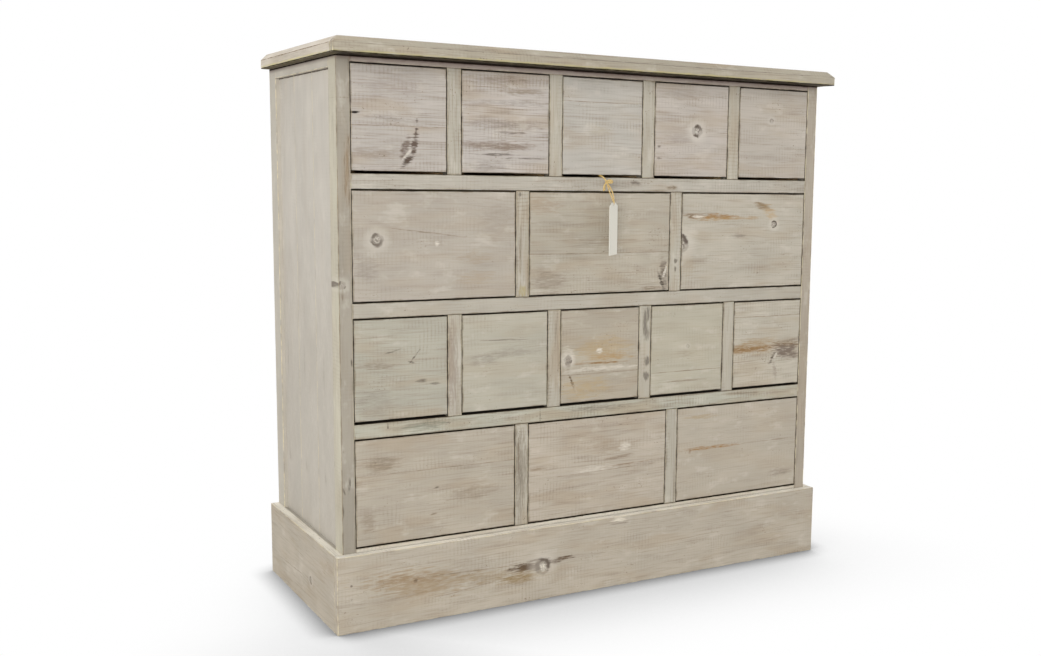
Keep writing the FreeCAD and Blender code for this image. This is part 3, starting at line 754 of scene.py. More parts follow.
left_post_pine = limed_pine(
    "limed pine, left post", "#9D9689", wax=0.7, wear_and_highlight=0.2, second_wash=((-1, 0, 0), "#BFB9A7"),
    knots=[(107, -6, 7, 0.8)],
    stains=[(285, 5.5, 65, 5, 0, "#8A755A", 0.8), (280, 8.4, 70, 0.9, 0, BROWN_STAIN, 0.9),
            (300, 1.5, 55, 0.8, 0, BROWN_STAIN, 0.7), (0, -10.4, 600, 0.5, 0, BROWN_STAIN, 1.2),
            (403, 0, 1.2, 14, 0, BROWN_STAIN, 0.5), (92, -5, 12, 2, 0, BROWN_STAIN, 0.8),
            (-19, 8, 9, 3, 0, WAX_STAIN, 0.8), (-222, 2, 16, 3, 8, WAX_STAIN, 0.8),
            (-232, -7, 8, 2, -20, WAX_STAIN, 0.8), (-262, -9, 12, 2, 0, WAX_STAIN, 0.7)])
right_post_pine = limed_pine("limed pine, right post", "#A89E8F", wax=0.7)
print("the left post and the dividers have stains of their own")

# %% Finishes of the rails
# The purplish brown band along the top rail's upper edge is painted shade under the overhang of the top, and
# the rail's wash is a little darker and pinker for the same shade.
top_rail_pine = limed_pine("limed pine, top rail", "#B2A69C", wear_and_highlight=0.3,
                           stains=[(0, 5.3, 900, 4.6, 0, "#5C4C48", 1.0)])
rail_1_pine = limed_pine("limed pine, rail below row 1", "#B1AB9F", wear_and_highlight=0.3, gap_wax_and_shade=0.9,
                         stains=[(26, 0, 55, 6, 0, GREY_STAIN, 0.35), (70, 3, 14, 5, 0, GREY_STAIN, 0.8),
                                 (148, -4, 16, 5, 0, BROWN_STAIN, 0.9)])
rail_2_pine = limed_pine("limed pine, rails", "#AEA89B", wear_and_highlight=0.3, gap_wax_and_shade=0.9)
rail_3_pine = limed_pine("limed pine, rail below row 3", "#B1AFA0", show=0.9, wear_and_highlight=0.3, gap_wax_and_shade=0.9,
                         stains=[(-340, 2, 50, 9, 0, "#6F6F5E", 0.6), (-122, 0, 2, 14, 0, WAX_STAIN, 0.5),
                                 (-405, 6, 1.6, 7, 0, WAX_STAIN, 0.7), (-300, 0, 6, 3, 25, WAX_STAIN, 0.6),
                                 (5, 2, 75, 7, 0, "#6A5F50", 0.6), (330, 4, 30, 4, 0, BROWN_STAIN, 0.5)])
bottom_rail_pine = limed_pine("limed pine, bottom rail", "#D2CBBC", wear_and_highlight=0.3, gap_wax_and_shade=0.9)
FRONT_RAILS = {"top_rail": top_rail_pine, "rail_below_row_1": rail_1_pine, "rail_below_row_2": rail_2_pine,
               "rail_below_row_3": rail_3_pine, "bottom_rail": bottom_rail_pine}
print(len(FRONT_RAILS), "front rails, each with its own finish")

# %% [markdown]
# The sides are frames with a thin panel let into a groove. The wash is thicker here and shows little
# grain. Dust and wax lie in the groove above the panel, and the lower part of the panel is painted darker:
# painted shade, as less light reaches low down the side.

# %% Finishes of the sides
panel_low, panel_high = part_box("side_panel_left")
PANEL_TOP = (max(low.z for low, high in solids("side_rails_left")) - (panel_low.z + panel_high.z) / 2) / MM
side_pine = limed_pine("limed pine, sides", "#BAB4A8", show=0.1, wax=0.35)
side_panel_pine = limed_pine(
    "limed pine, side panels", "#BEB8AE", show=0.1, wax=0.35,
    # The second stain, over the lower part, is painted shade.
    stains=[(PANEL_TOP - 0.6, 0, 1.3, 600, 0, WAX_STAIN, 3.0), (-230, 0, 330, 900, 0, "#A59E91", 0.4),
            (-290, 20, 14, 4, 0, BROWN_STAIN, 0.3), (-110, 20, 40, 3, 0, BROWN_STAIN, 0.3)])
print("the panels' tops lie", round(PANEL_TOP), "mm above their middle")

# %% Dress the carcass
dress("front_post_left", "z", left_post_pine, wear=0.12 * MM, soil=0.1)
dress("front_post_right", "z", right_post_pine, wear=0.12 * MM, soil=0.3)
dress("rear_posts", "z", side_pine, wear=0.1 * MM, soil=0.2)
for side, outward in (("left", -1), ("right", 1)):
    dress(f"side_rails_{side}", "y", side_pine, face=(outward, 0, 0), wear=0.1 * MM, soil=0.2)
    dress(f"side_panel_{side}", "z", side_panel_pine, face=(outward, 0, 0), boards=3, arris=0.1 * MM, wear=0,
          soil=0.2)
for node, finish in FRONT_RAILS.items():
    dress(node, "x", finish, wear=0.25 * MM)
for node in ("dividers_small_rows", "dividers_wide_rows"):
    dress(node, "z", divider_pine, wear=0.35 * MM, soil=0.8)

# %% [markdown]
# ## Top
# The top is a glued board with a moulded strip round three sides: a 45 degree bevel above and a small
# round below. The front strip covers the ends of the side strips. Dirt marks the foot of the bevel with
# a thin line, and the strips' lower edges carry a yellow line above an olive one. The undersides are
# painted dark as the shade under the overhang, less so under the side strips.

# %% Finishes of the top
BEVEL = 10.5 * MM
strip_low, strip_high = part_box("top_moulding_front")
BEVEL_FOOT = ((strip_high.z - strip_low.z) / 2 - BEVEL) / MM
# Faces that look down are painted dark: painted shade under the overhang.
PAINTED_SHADE_UNDERSIDE = ((0, 0, -1), "#2E251D")

top_pine = limed_pine("limed pine, top", "#BDB4A5", wear_and_highlight=0.4, second_wash=PAINTED_SHADE_UNDERSIDE)
front_strip_pine = limed_pine(
    "limed pine, front strip", "#A69E8D", show=0.55, wax=0.5, second_wash=PAINTED_SHADE_UNDERSIDE,
    stains=[(0, -9.9, 700, 1.7, 0, "#B0A67C", 1.2), (0, -11.9, 700, 1.3, 0, "#6E6647", 1.6),
            (0, BEVEL_FOOT, 700, 0.8, 0, GREY_STAIN, 0.8)])
side_strip_pine = limed_pine(
    # Their undersides are painted shade too, lighter than under the front strip.
    "limed pine, side strips", "#C9C0B2", show=0.3, wax=0.5, second_wash=((0, 0, -1), "#857963"),
    stains=[(0, BEVEL_FOOT, 400, 1.0, 0, BROWN_STAIN, 1.4), (0, -9.9, 400, 1.7, 0, "#C9BF88", 0.9),
            (0, -12.0, 400, 1.2, 0, "#857C54", 1.4), (-196.8, -3, 1.2, 14, 0, WAX_STAIN, 1.6)])
print("the bevel's foot lies", round(BEVEL_FOOT, 2), "mm above the strips' middle")


# %% Dress the top
def outer_top_edge(place):
    """Whether an edge with this middle is one of the top's outer upper ones."""
    outside = place.y < strip_low.y + MM or abs(place.x) > strip_high.x - MM
    return outside and place.z > strip_high.z - MM


dress("top_board", "x", top_pine, boards=4, face=(0, 0, 1))
dress("top_moulding_front", "x", front_strip_pine, moulding=(BEVEL, outer_top_edge), end_arris=0.8 * MM)
dress("top_moulding_sides", "y", side_strip_pine, moulding=(BEVEL, outer_top_edge), face=(1, 0, 0))
print("top dressed, with a bevel of", round(BEVEL / MM, 1), "mm")

# %% [markdown]
# ## Plinth
# The plinth's boards stand proud of the carcass by their own thickness and were only sanded along the
# upper arris. The ledge that this leaves is painted nearly white where it looks up: painted light, for the
# light that falls on it from above. The front board has one big knot with a pale heart and dark streaks
# to both sides of it, and two filled nail holes near its left end.

# %% Finishes of the plinth
KNOT_DARK = "#5E4C3A"
# The ledge's up-facing wash is painted light.
PAINTED_LIGHT_LEDGE = ((0, 0, 1), "#F6F0E2")

plinth_front_pine = limed_pine(
    "limed pine, plinth front", "#B3AA9B", show=0.4, wax=0.45, second_wash=PAINTED_LIGHT_LEDGE,
    knots=[(-122, -5, 15, 0.9)],
    stains=[(-350, 2, 115, 28, -7, "#957E5C", 0.62), (-370, 10, 64, 12, -6, "#8A7050", 0.45),
            (-230, -6, 60, 15, -6, "#93805F", 0.45), (-154, -1, 36, 10, 0, KNOT_DARK, 1.6),
            (-364, 7, 4, 3, 0, "#6A5642", 0.9),
            (-158, -18, 50, 12, 0, "#8A7550", 0.9), (-92, 2, 36, 5, 6, KNOT_DARK, 1.4),
            (-134, -3, 8, 13, 0, KNOT_DARK, 1.5), (-120, 5, 12, 5, 12, KNOT_DARK, 1.4),
            (-112, -6, 3, 12, -8, KNOT_DARK, 1.0), (-122, -5, 7, 10, 0, "#D8D0C0", 1.3),
            (-270, 8, 110, 1.0, -2, BROWN_STAIN, 0.6), (-260, -22, 90, 1.0, 6, BROWN_STAIN, 0.5),
            (38, 60, 20, 5, 0, "#E4DCCB", 0.8), (38, 53, 20, 2, 0, GREY_STAIN, 0.5),
            (-476, 16, 2.4, 2.4, 0, GREY_STAIN, 0.9), (-476, -8, 2.4, 2.4, 0, GREY_STAIN, 0.9)])
plinth_side_pine = limed_pine(
    "limed pine, plinth sides", "#B2A99A", show=0.4, wax=0.45, second_wash=PAINTED_LIGHT_LEDGE,
    knots=[(-58, -13, 7, 0.7)],
    stains=[(30, -18, 90, 1.0, -3, BROWN_STAIN, 0.5)])
dress("plinth_front", "x", plinth_front_pine, end_arris=1.0 * MM)
dress("plinth_sides", "y", plinth_side_pine, face=(1, 0, 0))
print("plinth dressed")

# %% [markdown]
# ## Drawer fronts
# Each front is one board, or two glued edge to edge, and no two are alike. The washes run from pinkish
# at the top to greyish olive lower down, and they darken downwards as painted shade, for the light that
# falls off towards the floor. The knots and stains are placed from the middle of each front, and
# glue_line is the joint's height from it.
#
# The first front of row 1 has a black slit and a dark forked stain, and the second shows the most bare
# wood. In row 2, the middle front has a dark mark in its lower right corner, and the last one a honey
# brown streak above its two knots.

# %% Fronts of rows 1 and 2
UPPER_FRONTS = {
    "r1_c1": dict(wash="#B2ABA3", show=0.6, glue_line=-11.5,
                  stains=[(-76.5, 7.8, 9, 2.2, 0, "#1D1610", 4.0), (29.6, -1.6, 2.6, 3.6, 0, GREY_STAIN, 1.0),
                          (10, -44, 7, 22, -20, "#6F6157", 1.0), (25, -40, 6, 26, -10, "#5E4F45", 1.3),
                          (27.5, -22, 2.4, 14, -8, "#5E4F45", 1.1), (13, -56, 2.6, 16, -42, PALE_STAIN, 0.7),
                          (12, -68, 6, 16, -45, "#4E4036", 1.3), (-45, -55, 45, 11, 0, BROWN_STAIN, 0.35),
                          (-10, 52, 60, 24, 0, "#8A7D74", 0.35), (-20, 0, 50, 5, -3, GREY_STAIN, 0.4)]),
    "r1_c2": dict(wash="#B9B2AB", show=0.65,
                  stains=[(-10, 71, 60, 10, 0, BROWN_STAIN, 0.5), (30, 53, 58, 7, 0, "#7E6C55", 0.6),
                          (0, 34, 80, 6, 0, GREY_STAIN, 0.35), (-3, -3, 84, 9, 0, "#776A5F", 0.55),
                          (10, -16, 40, 3.5, 0, GREY_STAIN, 0.7), (-12, -38, 80, 10, 0, "#786656", 0.75),
                          (30, -4, 12, 6, 0, PALE_STAIN, 0.35), (-18, -53, 42, 2.4, 0, WAX_STAIN, 0.7),
                          (30, -58, 50, 1.6, 0, WAX_STAIN, 0.7), (-30, -73, 34, 12, 0, GREY_STAIN, 0.3)]),
    "r1_c3": dict(wash="#B5B0A7", show=0.35, glue_line=43, stains=[(-10, -5, 30, 12, 0, "#A59A86", 0.5)]),
    "r1_c4": dict(wash="#B8B0A7", show=0.55, knots=[(12, 0, 11, 1.0)],
                  stains=[(-20, 62, 55, 10, 0, BROWN_STAIN, 0.25), (-28, -12, 40, 20, 0, "#8E8279", 0.35),
                          (-72, -30, 4, 2.4, 0, GREY_STAIN, 0.8), (-72, -52, 4, 2.4, 0, GREY_STAIN, 0.7)]),
    "r1_c5": dict(wash="#B3ABA0", show=0.45, knots=[(-5, 25, 5, 0.5)]),
    "r2_c1": dict(wash="#ADA599", show=0.35, knots=[(-103.7, 10.2, 11, 0.85)],
                  stains=[(110, 40, 40, 40, 0, BROWN_STAIN, 0.2), (0, 2.3, 5, 5, 0, PALE_STAIN, 0.9),
                          (-120, -38, 26, 20, 0, GREY_STAIN, 0.3), (-20, 22, 70, 1.4, -7, BROWN_STAIN, 0.6),
                          (70, -22, 36, 12, 0, "#9C8A70", 0.45), (75, -55, 40, 12, 0, "#A3937C", 0.5)]),
    "r2_c2": dict(wash="#AEA697", show=0.6, glue_line=-18.2,
                  stains=[(133, -60, 9, 34, 6, "#6C5F53", 0.9), (128, -72, 4, 24, 22, "#3F3429", 0.95),
                          (136, -55, 3, 14, -20, PALE_STAIN, 0.9), (112, -84, 26, 4, 0, BROWN_STAIN, 0.7),
                          (-105, -66, 42, 20, 0, "#756453", 0.5), (-115, 66, 40, 16, 0, "#97826A", 0.45),
                          (0, 5, 140, 2.0, 0, BROWN_STAIN, 0.35)]),
    "r2_c3": dict(wash="#B4AD9F", show=0.35, knots=[(71.6, 31.6, 7, 1.0), (-146, -4, 17, 1.0)],
                  stains=[(-112, 47, 30, 7, 0, "#7C6549", 1.1), (-66, 46, 54, 6.0, 0, "#95754C", 1.2),
                          (-40, 43, 100, 4, 1, TAN_STAIN, 0.6), (-108, 47, 17, 4, 0, PALE_STAIN, 1.0),
                          (44, 66, 26, 7, -12, "#806846", 0.9), (62, 52, 22, 14, -35, "#B3966C", 0.6),
                          (-12, 10, 18, 4, 0, GREY_STAIN, 0.5), (-132, -40, 18, 30, 0, "#A3937C", 0.5)]),
}
print(len(UPPER_FRONTS), "upper fronts described")

# %% [markdown]
# In row 3, the first front has dents filled with dark wax, the middle one is honey brown with a pale
# streak above its joint, and the last one has a broad brown band. Row 4 has brown clouds and thin
# streaks, and no knots.

# %% Fronts of rows 3 and 4
LOWER_FRONTS = {
    "r3_c1": dict(wash="#AAA698", show=0.55,
                  stains=[(-45, 6, 46, 6, -3, "#7C6A57", 0.6), (-17, 29, 16, 1.6, 14, WAX_STAIN, 0.75),
                          (22, 18, 15, 1.6, 50, WAX_STAIN, 0.7), (18, 9, 7, 1.8, -20, WAX_STAIN, 0.8),
                          (34, -23, 10, 4, 0, WAX_STAIN, 0.6), (58, -29, 10, 3, 0, WAX_STAIN, 0.7),
                          (-50, -56, 40, 28, 0, GREY_STAIN, 0.25)]),
    "r3_c2": dict(wash="#AFAA9B", show=0.4,
                  stains=[(-8, 38, 56, 1.6, -2, GREY_STAIN, 0.7), (-45, 4, 34, 12, 0, GREY_STAIN, 0.35),
                          (14, 15, 50, 10, 0, GREY_STAIN, 0.28)]),
    "r3_c3": dict(wash="#ABA292", show=0.6, glue_line=-33, knots=[(-67, -6, 8, 0.8)],
                  stains=[(5, 8, 66, 28, 0, "#AB905F", 0.45), (15, -4, 50, 9, 0, "#A58350", 0.55),
                          (0, -14.5, 66, 3.0, -1, "#8C6D44", 0.95), (10, -25, 95, 4.5, 0, PALE_STAIN, 0.6),
                          (-2, 7, 7, 7, 0, PALE_STAIN, 0.9), (-66, -2, 14, 20, 0, PALE_STAIN, 0.6),
                          (-66, -8, 7, 16, 0, "#6A5A4A", 0.9), (-56, -52, 3.0, 20, 24, "#5E4C37", 1.4),
                          (-52, -60, 3.0, 12, 24, PALE_STAIN, 0.6),
                          (-30, -60, 60, 22, 0, "#AD9468", 0.5)]),
    "r3_c4": dict(wash="#B2AC9B", show=0.35, glue_line=-42, knots=[(1.7, 5, 4, 0.3)],
                  stains=[(-5, -61, 56, 2.0, 0, BROWN_STAIN, 0.55), (0, -8, 34, 10, 0, BROWN_STAIN, 0.2)]),
    "r3_c5": dict(wash="#B8B1A2", show=0.5, glue_line=54,
                  stains=[(-30, -8, 80, 13, 0, "#937751", 1.0), (-40, -9, 60, 5, 0, "#8A6C46", 1.2),
                          (50, -6, 50, 9, 2, "#7F6A52", 1.1), (-20, 4, 60, 8, 0, "#A08A6A", 0.6),
                          (50, -19, 40, 15, -6, "#74665A", 1.3), (50, 2, 46, 3, 5, BROWN_STAIN, 0.5),
                          (16, -28, 5, 16, -32, "#544539", 0.95), (22, -26, 3, 9, -32, PALE_STAIN, 0.9),
                          (22, -58, 5, 22, 12, "#8F8378", 0.6)]),
    "r4_c1": dict(wash="#AEA596", show=0.55, glue_line=28.7,
                  stains=[(-98, 46, 34, 15, 0, "#75644F", 0.55), (63, -22, 60, 14, 0, BROWN_STAIN, 0.35),
                          (-2, -4, 6, 2, 10, WAX_STAIN, 0.7), (-8, -50, 6, 1.6, 10, BROWN_STAIN, 0.7),
                          (-125, -50, 14, 22, 0, BROWN_STAIN, 0.4)]),
    "r4_c2": dict(wash="#B4AA9B", show=0.4,
                  stains=[(-124, 6, 20, 4, 0, "#7C664C", 0.75), (30, 32, 70, 15, 0, "#93816A", 0.4),
                          (42, 10, 36, 4, 3, "#7A6650", 0.7), (56, -4, 84, 2.0, 2, "#7A5F40", 0.7),
                          (18, -11, 130, 1.2, 1, BROWN_STAIN, 0.6), (55, 30, 14, 10, 0, PALE_STAIN, 0.8),
                          (-10, -6, 50, 8, 0, PALE_STAIN, 0.6)]),
    "r4_c3": dict(wash="#B1A899", show=0.35,
                  stains=[(-76, 7.5, 76, 3.6, 0, "#94703F", 1.0), (70, 8, 80, 1.4, 0, BROWN_STAIN, 0.5),
                          (-115, 5, 5, 6, 0, "#7C5A36", 0.9), (-89, 70, 44, 5, 0, "#A38F6C", 0.6),
                          (108, -60, 30, 9, 0, GREY_STAIN, 0.5)]),
}
print(len(LOWER_FRONTS), "lower fronts described")

# %% Dress the fronts
FRONTS = {**UPPER_FRONTS, **LOWER_FRONTS}
for name, look in FRONTS.items():
    front_pine = limed_pine(f"limed pine, front {name}", wear_and_highlight=0.25, gap_wax_and_shade=0.85, **look)
    dress(f"drawer_{name}_front", "x", front_pine, end_arris=0.8 * MM, arris=0.8 * MM, wear=0.25 * MM)
print(len(FRONTS), "fronts dressed")

# %% [markdown]
# ## Inside
# The drawer boxes, shelves, cleats and guides are bare sawn pine, never waxed or limed: honey coloured,
# with darker summer wood and a dry, dull surface. The back is plywood, whose face is peeled from a log,
# so its rings are wide. These keep their CAD shapes. Most of them run from front to back, so the grain
# does too, except on faces that look to the front or the back.

# %% Bare wood
def raw_wood(name, pale, dark, ring_spacing, roughness):
    """Bare wood whose rings are this many millimetres apart."""
    material, tree, surface = new_material(name)
    where = add(tree, "TexCoord", {}, output="Object")
    where = add(tree, "VectorMath", {0: where, "Scale": 1 / MM}, operation="SCALE")
    x, y, z = (add(tree, "SeparateXYZ", {"Vector": where}, output=axis) for axis in "XYZ")
    facing = add(tree, "TexCoord", {}, output="Normal")
    facing = add(tree, "SeparateXYZ", {"Vector": facing}, output="Y")
    facing = add(tree, "Math", {0: facing}, operation="ABSOLUTE")
    lengthways = add(tree, "CombineXYZ", {"X": y, "Y": z, "Z": x})
    crossways = add(tree, "CombineXYZ", {"X": x, "Y": z, "Z": y})
    place = add(tree, "Mix", {0: facing, 4: lengthways, 5: crossways}, output=1, data_type="VECTOR")
    waver = add(tree, "Math", {0: streaks(tree, place, 240, 40), 1: 3.0}, operation="MULTIPLY")
    across = add(tree, "SeparateXYZ", {"Vector": place}, output="Y")
    phase = add(tree, "Math", {0: across, 1: 1 / ring_spacing, 2: waver}, operation="MULTIPLY_ADD")
    phase = add(tree, "Math", {0: phase}, operation="FRACT")
    summer_wood = add(tree, "MapRange", {"Value": phase, "From Min": 0.5, "From Max": 0.95, "To Max": 0.7},
                      **SMOOTH)
    summer_wood = add(tree, "MapRange", {"Value": phase, "From Min": 0.95, "From Max": 1.0,
                                         "To Min": summer_wood, "To Max": 0.0}, **SMOOTH)
    fibres = streaks(tree, place, 50, 1.5)
    amount = add(tree, "Math", {0: fibres, 1: 0.35, 2: summer_wood}, operation="MULTIPLY_ADD", use_clamp=True)
    color = add(tree, "Mix", {0: amount, 6: linear(pale), 7: linear(dark)}, output=2, data_type="RGBA")
    bump = add(tree, "Bump", {"Height": fibres, "Strength": 0.4, "Distance": 0.2 * MM})
    tree.links.new(color, surface["Base Color"])
    tree.links.new(bump, surface["Normal"])
    surface["Roughness"].default_value = roughness
    return material


raw_pine = raw_wood("raw pine", "#D9BE92", "#B98F5A", 6.5, 0.7)
plywood = raw_wood("plywood", "#CDB083", "#B4925F", 24.0, 0.65)
raw_nodes = [node for node in frame["nodes"] if node.endswith("_box")]
raw_nodes += ["drawer_shelves", "shelf_cleats", "drawer_guides", "back_rails"]
for node in raw_nodes:
    finish_node(node, raw_pine)
finish_node("back_panel", plywood)
print(len(raw_nodes), "nodes of raw pine and a plywood back")

# %% [markdown]
# The screws that hold the top down are steel, plated with zinc. Plating leaves a fine spangle of lighter
# and darker grains, about a millimetre across, which breaks up the reflection.

# %% Zinc
SPANGLES_PER_METRE = 900.0

zinc, zinc_tree, zinc_surface = new_material("zinc plated steel")
spangle = add(zinc_tree, "TexNoise", {"Scale": SPANGLES_PER_METRE, "Detail": 2.0})
zinc_color = add(zinc_tree, "Mix", {0: spangle, 6: linear("#B9BDC0"), 7: linear("#8E9498")}, output=2,
                 data_type="RGBA")
zinc_tree.links.new(zinc_color, zinc_surface["Base Color"])
zinc_surface["Metallic"].default_value = 1.0
zinc_surface["Roughness"].default_value = 0.35
finish_node("top_screws", zinc)
print(len(solids("top_screws")), "zinc plated screws")

# %% [markdown]
# ## String and tag
# A blank card hangs from the gap under the middle drawer of the top row, on two strands of raffia. Raffia
# is a strip of palm leaf, flat and limp, which never lies quite straight. Each strand follows a smooth
# line led by a few points, a NURBS curve read back as a mesh, and is a flat oval in section.

# %% A strand of raffia
STRAND_RADIUS = 1.2 * MM
STRAND_SIDES = 8
FLATNESS = 0.6
END_TAPER = 0.55


def smooth_line(points):
    """The points along a NURBS curve with these control points."""
    curve = bpy.data.curves.new("route", "CURVE")
    curve.dimensions = "3D"
    curve.resolution_u = 16
    spline = curve.splines.new("NURBS")
    spline.points.add(len(points) - 1)
    for control_point, place in zip(spline.points, points):
        control_point.co = (*place, 1)
    spline.order_u = 3
    spline.use_endpoint_u = True
    holder = bpy.data.objects.new("route", curve)
    line = [v.co.copy() for v in bpy.data.meshes.new_from_object(holder).vertices]
    bpy.data.objects.remove(holder)
    return line


def strand(mesh, line):
    """A flat-oval strand along a line, with its broad side to the front."""
    rings = []
    for i, place in enumerate(line):
        ahead = (line[min(i + 1, len(line) - 1)] - line[max(i - 1, 0)]).normalized()
        side = ahead.cross(Vector((0, 0, 1)) if abs(ahead.z) < 0.9 else Vector((1, 0, 0))).normalized()
        up = side.cross(ahead)
        taper = 1.0 if 0 < i < len(line) - 1 else END_TAPER
        turns = [k * 2 * math.pi / STRAND_SIDES for k in range(STRAND_SIDES)]
        rings.append([mesh.verts.new(place + taper * STRAND_RADIUS * (
            side * FLATNESS * math.cos(turn) + up * math.sin(turn))) for turn in turns])
    for first, last in zip(rings, rings[1:]):
        for k in range(STRAND_SIDES):
            after = (k + 1) % STRAND_SIDES
            mesh.faces.new((first[k], first[after], last[after], last[k]))
    mesh.faces.new(reversed(rings[0]))
    mesh.faces.new(rings[-1])


def raffia_piece(name, line):
    """A strand along a line as a piece of its own."""
    mesh = bmesh.new()
    strand(mesh, line)
    data = bpy.data.meshes.new(name)
    mesh.to_mesh(data)
    mesh.free()
    data.polygons.foreach_set("use_smooth", [True] * len(data.polygons))
    data.materials.append(raffia)
    piece = bpy.data.objects.new(name, data)
    bpy.context.scene.collection.objects.link(piece)
    return piece


print("a strand is", round(2 * STRAND_RADIUS / MM, 1), "mm broad")

# %% [markdown]
# Its fibres are half a millimetre across and several long, drawn a little coarser than they are. They
# make it light and dark in turn, from straw to honey.

# %% Raffia
FIBRES_PER_METRE = (2200, 2200, 160)

raffia, raffia_tree, raffia_surface = new_material("raffia")
fibre_place = add(raffia_tree, "TexCoord", {}, output="Object")
fibre_place = add(raffia_tree, "VectorMath", {0: fibre_place, 1: FIBRES_PER_METRE}, operation="MULTIPLY")
raffia_fibres = add(raffia_tree, "TexNoise", {"Vector": fibre_place, "Scale": 1.0, "Detail": 2.0})
fibre_tone = add(raffia_tree, "MapRange", {"Value": raffia_fibres, "From Min": 0.35, "From Max": 0.65})
fibre_color = add(raffia_tree, "Mix", {0: fibre_tone, 6: linear("#B0893C"), 7: linear("#DDC68C")}, output=2,
                  data_type="RGBA")
fibre_bump = add(raffia_tree, "Bump", {"Height": raffia_fibres, "Strength": 0.5, "Distance": 0.1 * MM})
raffia_tree.links.new(fibre_color, raffia_surface["Base Color"])
raffia_tree.links.new(fibre_bump, raffia_surface["Normal"])
raffia_surface["Roughness"].default_value = 0.6
print("raffia has", FIBRES_PER_METRE[0], "fibres to the metre")

# %% [markdown]
# The string goes from the gap, over the upper edge of the rail, down to the hole in the tag. The second
# strand lies beside it and wanders a little. Two cut ends, a bow of two loops and the wrap of the knot
# are short strands, in millimetres from the knot.

# %% String, knot and bow
STRING_ROUTE = [Vector(point) * MM for point in (
    (-3.5, -165.0, 756.6), (-4.0, -178.5, 756.6), (1.6, -182.5, 746.2), (11.0, -186.0, 732.0),
    (14.0, -188.3, 717.0), (13.5, -188.6, 706.9))]
KNOT = STRING_ROUTE[2] + Vector((0.3, -0.3, 1.0)) * MM
TIES = {
    "second_strand": [(-8.5, 17, 11.4), (-8.5, 4, 11.4), (-1.6, -1.6, 0.6), (1.6, -4.6, -15),
                      (7.2, -7.0, -29), (12.2, -6.6, -38)],
    "tail_left": [(0, -0.6, 0), (-2.5, -1.8, 0.5), (-5.0, -1.8, -4), (-4.8, -1.2, -16)],
    "second_tail": [(-0.5, -0.6, 0), (-3.5, -2.4, -3), (-8.0, -2.2, -7), (-7.6, -1.6, -17)],
    "bow": [(0, -0.5, 1), (3.0, -2.2, 3.6), (9.0, -2.0, 2.6), (11.5, -1.6, -1.0), (7.0, -2.0, -2.6),
            (0.5, -1.8, -1.5)],
    "bow_inner": [(0, -0.5, 0.5), (3.0, -2.6, 2.0), (7.5, -2.4, 1.2), (6.5, -2.2, -1.2), (0.5, -2.2, -1.0)],
    "knot_wrap": [(-2.6, 0.6, 1.4), (-0.4, -2.6, 1.0), (1.8, -2.0, -1.6), (-1.0, -1.6, -2.4),
                  (-2.4, 0.8, -0.4)],
}
string_line = smooth_line(STRING_ROUTE)
string = raffia_piece("raffia_string", string_line)
ties = []
for name, route in TIES.items():
    ties.append(raffia_piece("raffia_" + name, smooth_line([KNOT + Vector(point) * MM for point in route])))
print("string and", len(ties), "short strands")

# %% [markdown]
# The string is tied in the gap, and the tag hangs before the middle wide drawer. Each strand's place is
# baked into its points, and START in the gap and END just above the knot mark the few millimetres between
# them.

# %% The strands set in place
START, END = Vector((-4.0, -178.5, 756.5)) * MM, Vector((-4.0, -178.5, 751.5)) * MM
for piece in (string, *ties):
    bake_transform(piece)
    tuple(START)
    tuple(END)
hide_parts("tag_string")
print("the string pays out over", round((START - END).length / MM), "mm")

# %% [markdown]
# The tag is stiff uncoated card, white with a touch of grey. Its face is bare, and its clipped corners
# come from the frame. Card fibre shows as a faint mottle a couple of millimetres across, and its cut edge
# is no brighter than its face.

# %% Tag
MOTTLES_PER_METRE = 420.0

card, card_tree, card_surface = new_material("uncoated card")
card_place = add(card_tree, "TexCoord", {}, output="Object")
pulp = add(card_tree, "TexNoise", {"Vector": card_place, "Scale": MOTTLES_PER_METRE, "Detail": 4.0})
pulp_color = add(card_tree, "Mix", {0: pulp, 6: linear("#D9D6CC"), 7: linear("#CFCCC1")}, output=2,
                 data_type="RGBA")
pulp_bump = add(card_tree, "Bump", {"Height": pulp, "Strength": 0.2, "Distance": 0.1 * MM})
card_tree.links.new(pulp_color, card_surface["Base Color"])
card_tree.links.new(pulp_bump, card_surface["Normal"])
card_surface["Roughness"].default_value = 0.8
tag = frame["nodes"]["swing_tag"]
finish_node("swing_tag", card)
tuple(STRING_ROUTE[0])
print("tag", [round(side / MM) for side in tag.dimensions], "mm over all, with its turn")

# %% [markdown]
# ## Floor
# The floor and the room are white. Their white comes from what the camera sees and not from more light on
# the chest. The floor keeps the chest's soft shadow, which is drawn as ambient occlusion: how much of
# the room round a point of the floor the chest hides. It is measured twice, within half a metre for the
# broad shadow and within 50 mm for the dark line where the plinth stands.
#
# The broad one looks a little sideways and not straight up, because the room isn't lit evenly. A point
# far to the side looks away from the chest, so the shadow fades there. A point by the near left corner
# looks back at it, because the lamp on the right leaves that corner in shade.

# %% Where a point of the floor looks
FLOOR_HALF = 6.0
LOOKS_UP = 0.6
LOOKS_ASIDE, ASIDE_BY_DEPTH = 0.9, 2.5
LOOKS_BACK, BACK_BY_DEPTH = 0.05, 0.8
CORNER_LOOKS_BACK = 0.62
CORNER_FULL, CORNER_NONE = -0.86, -0.64

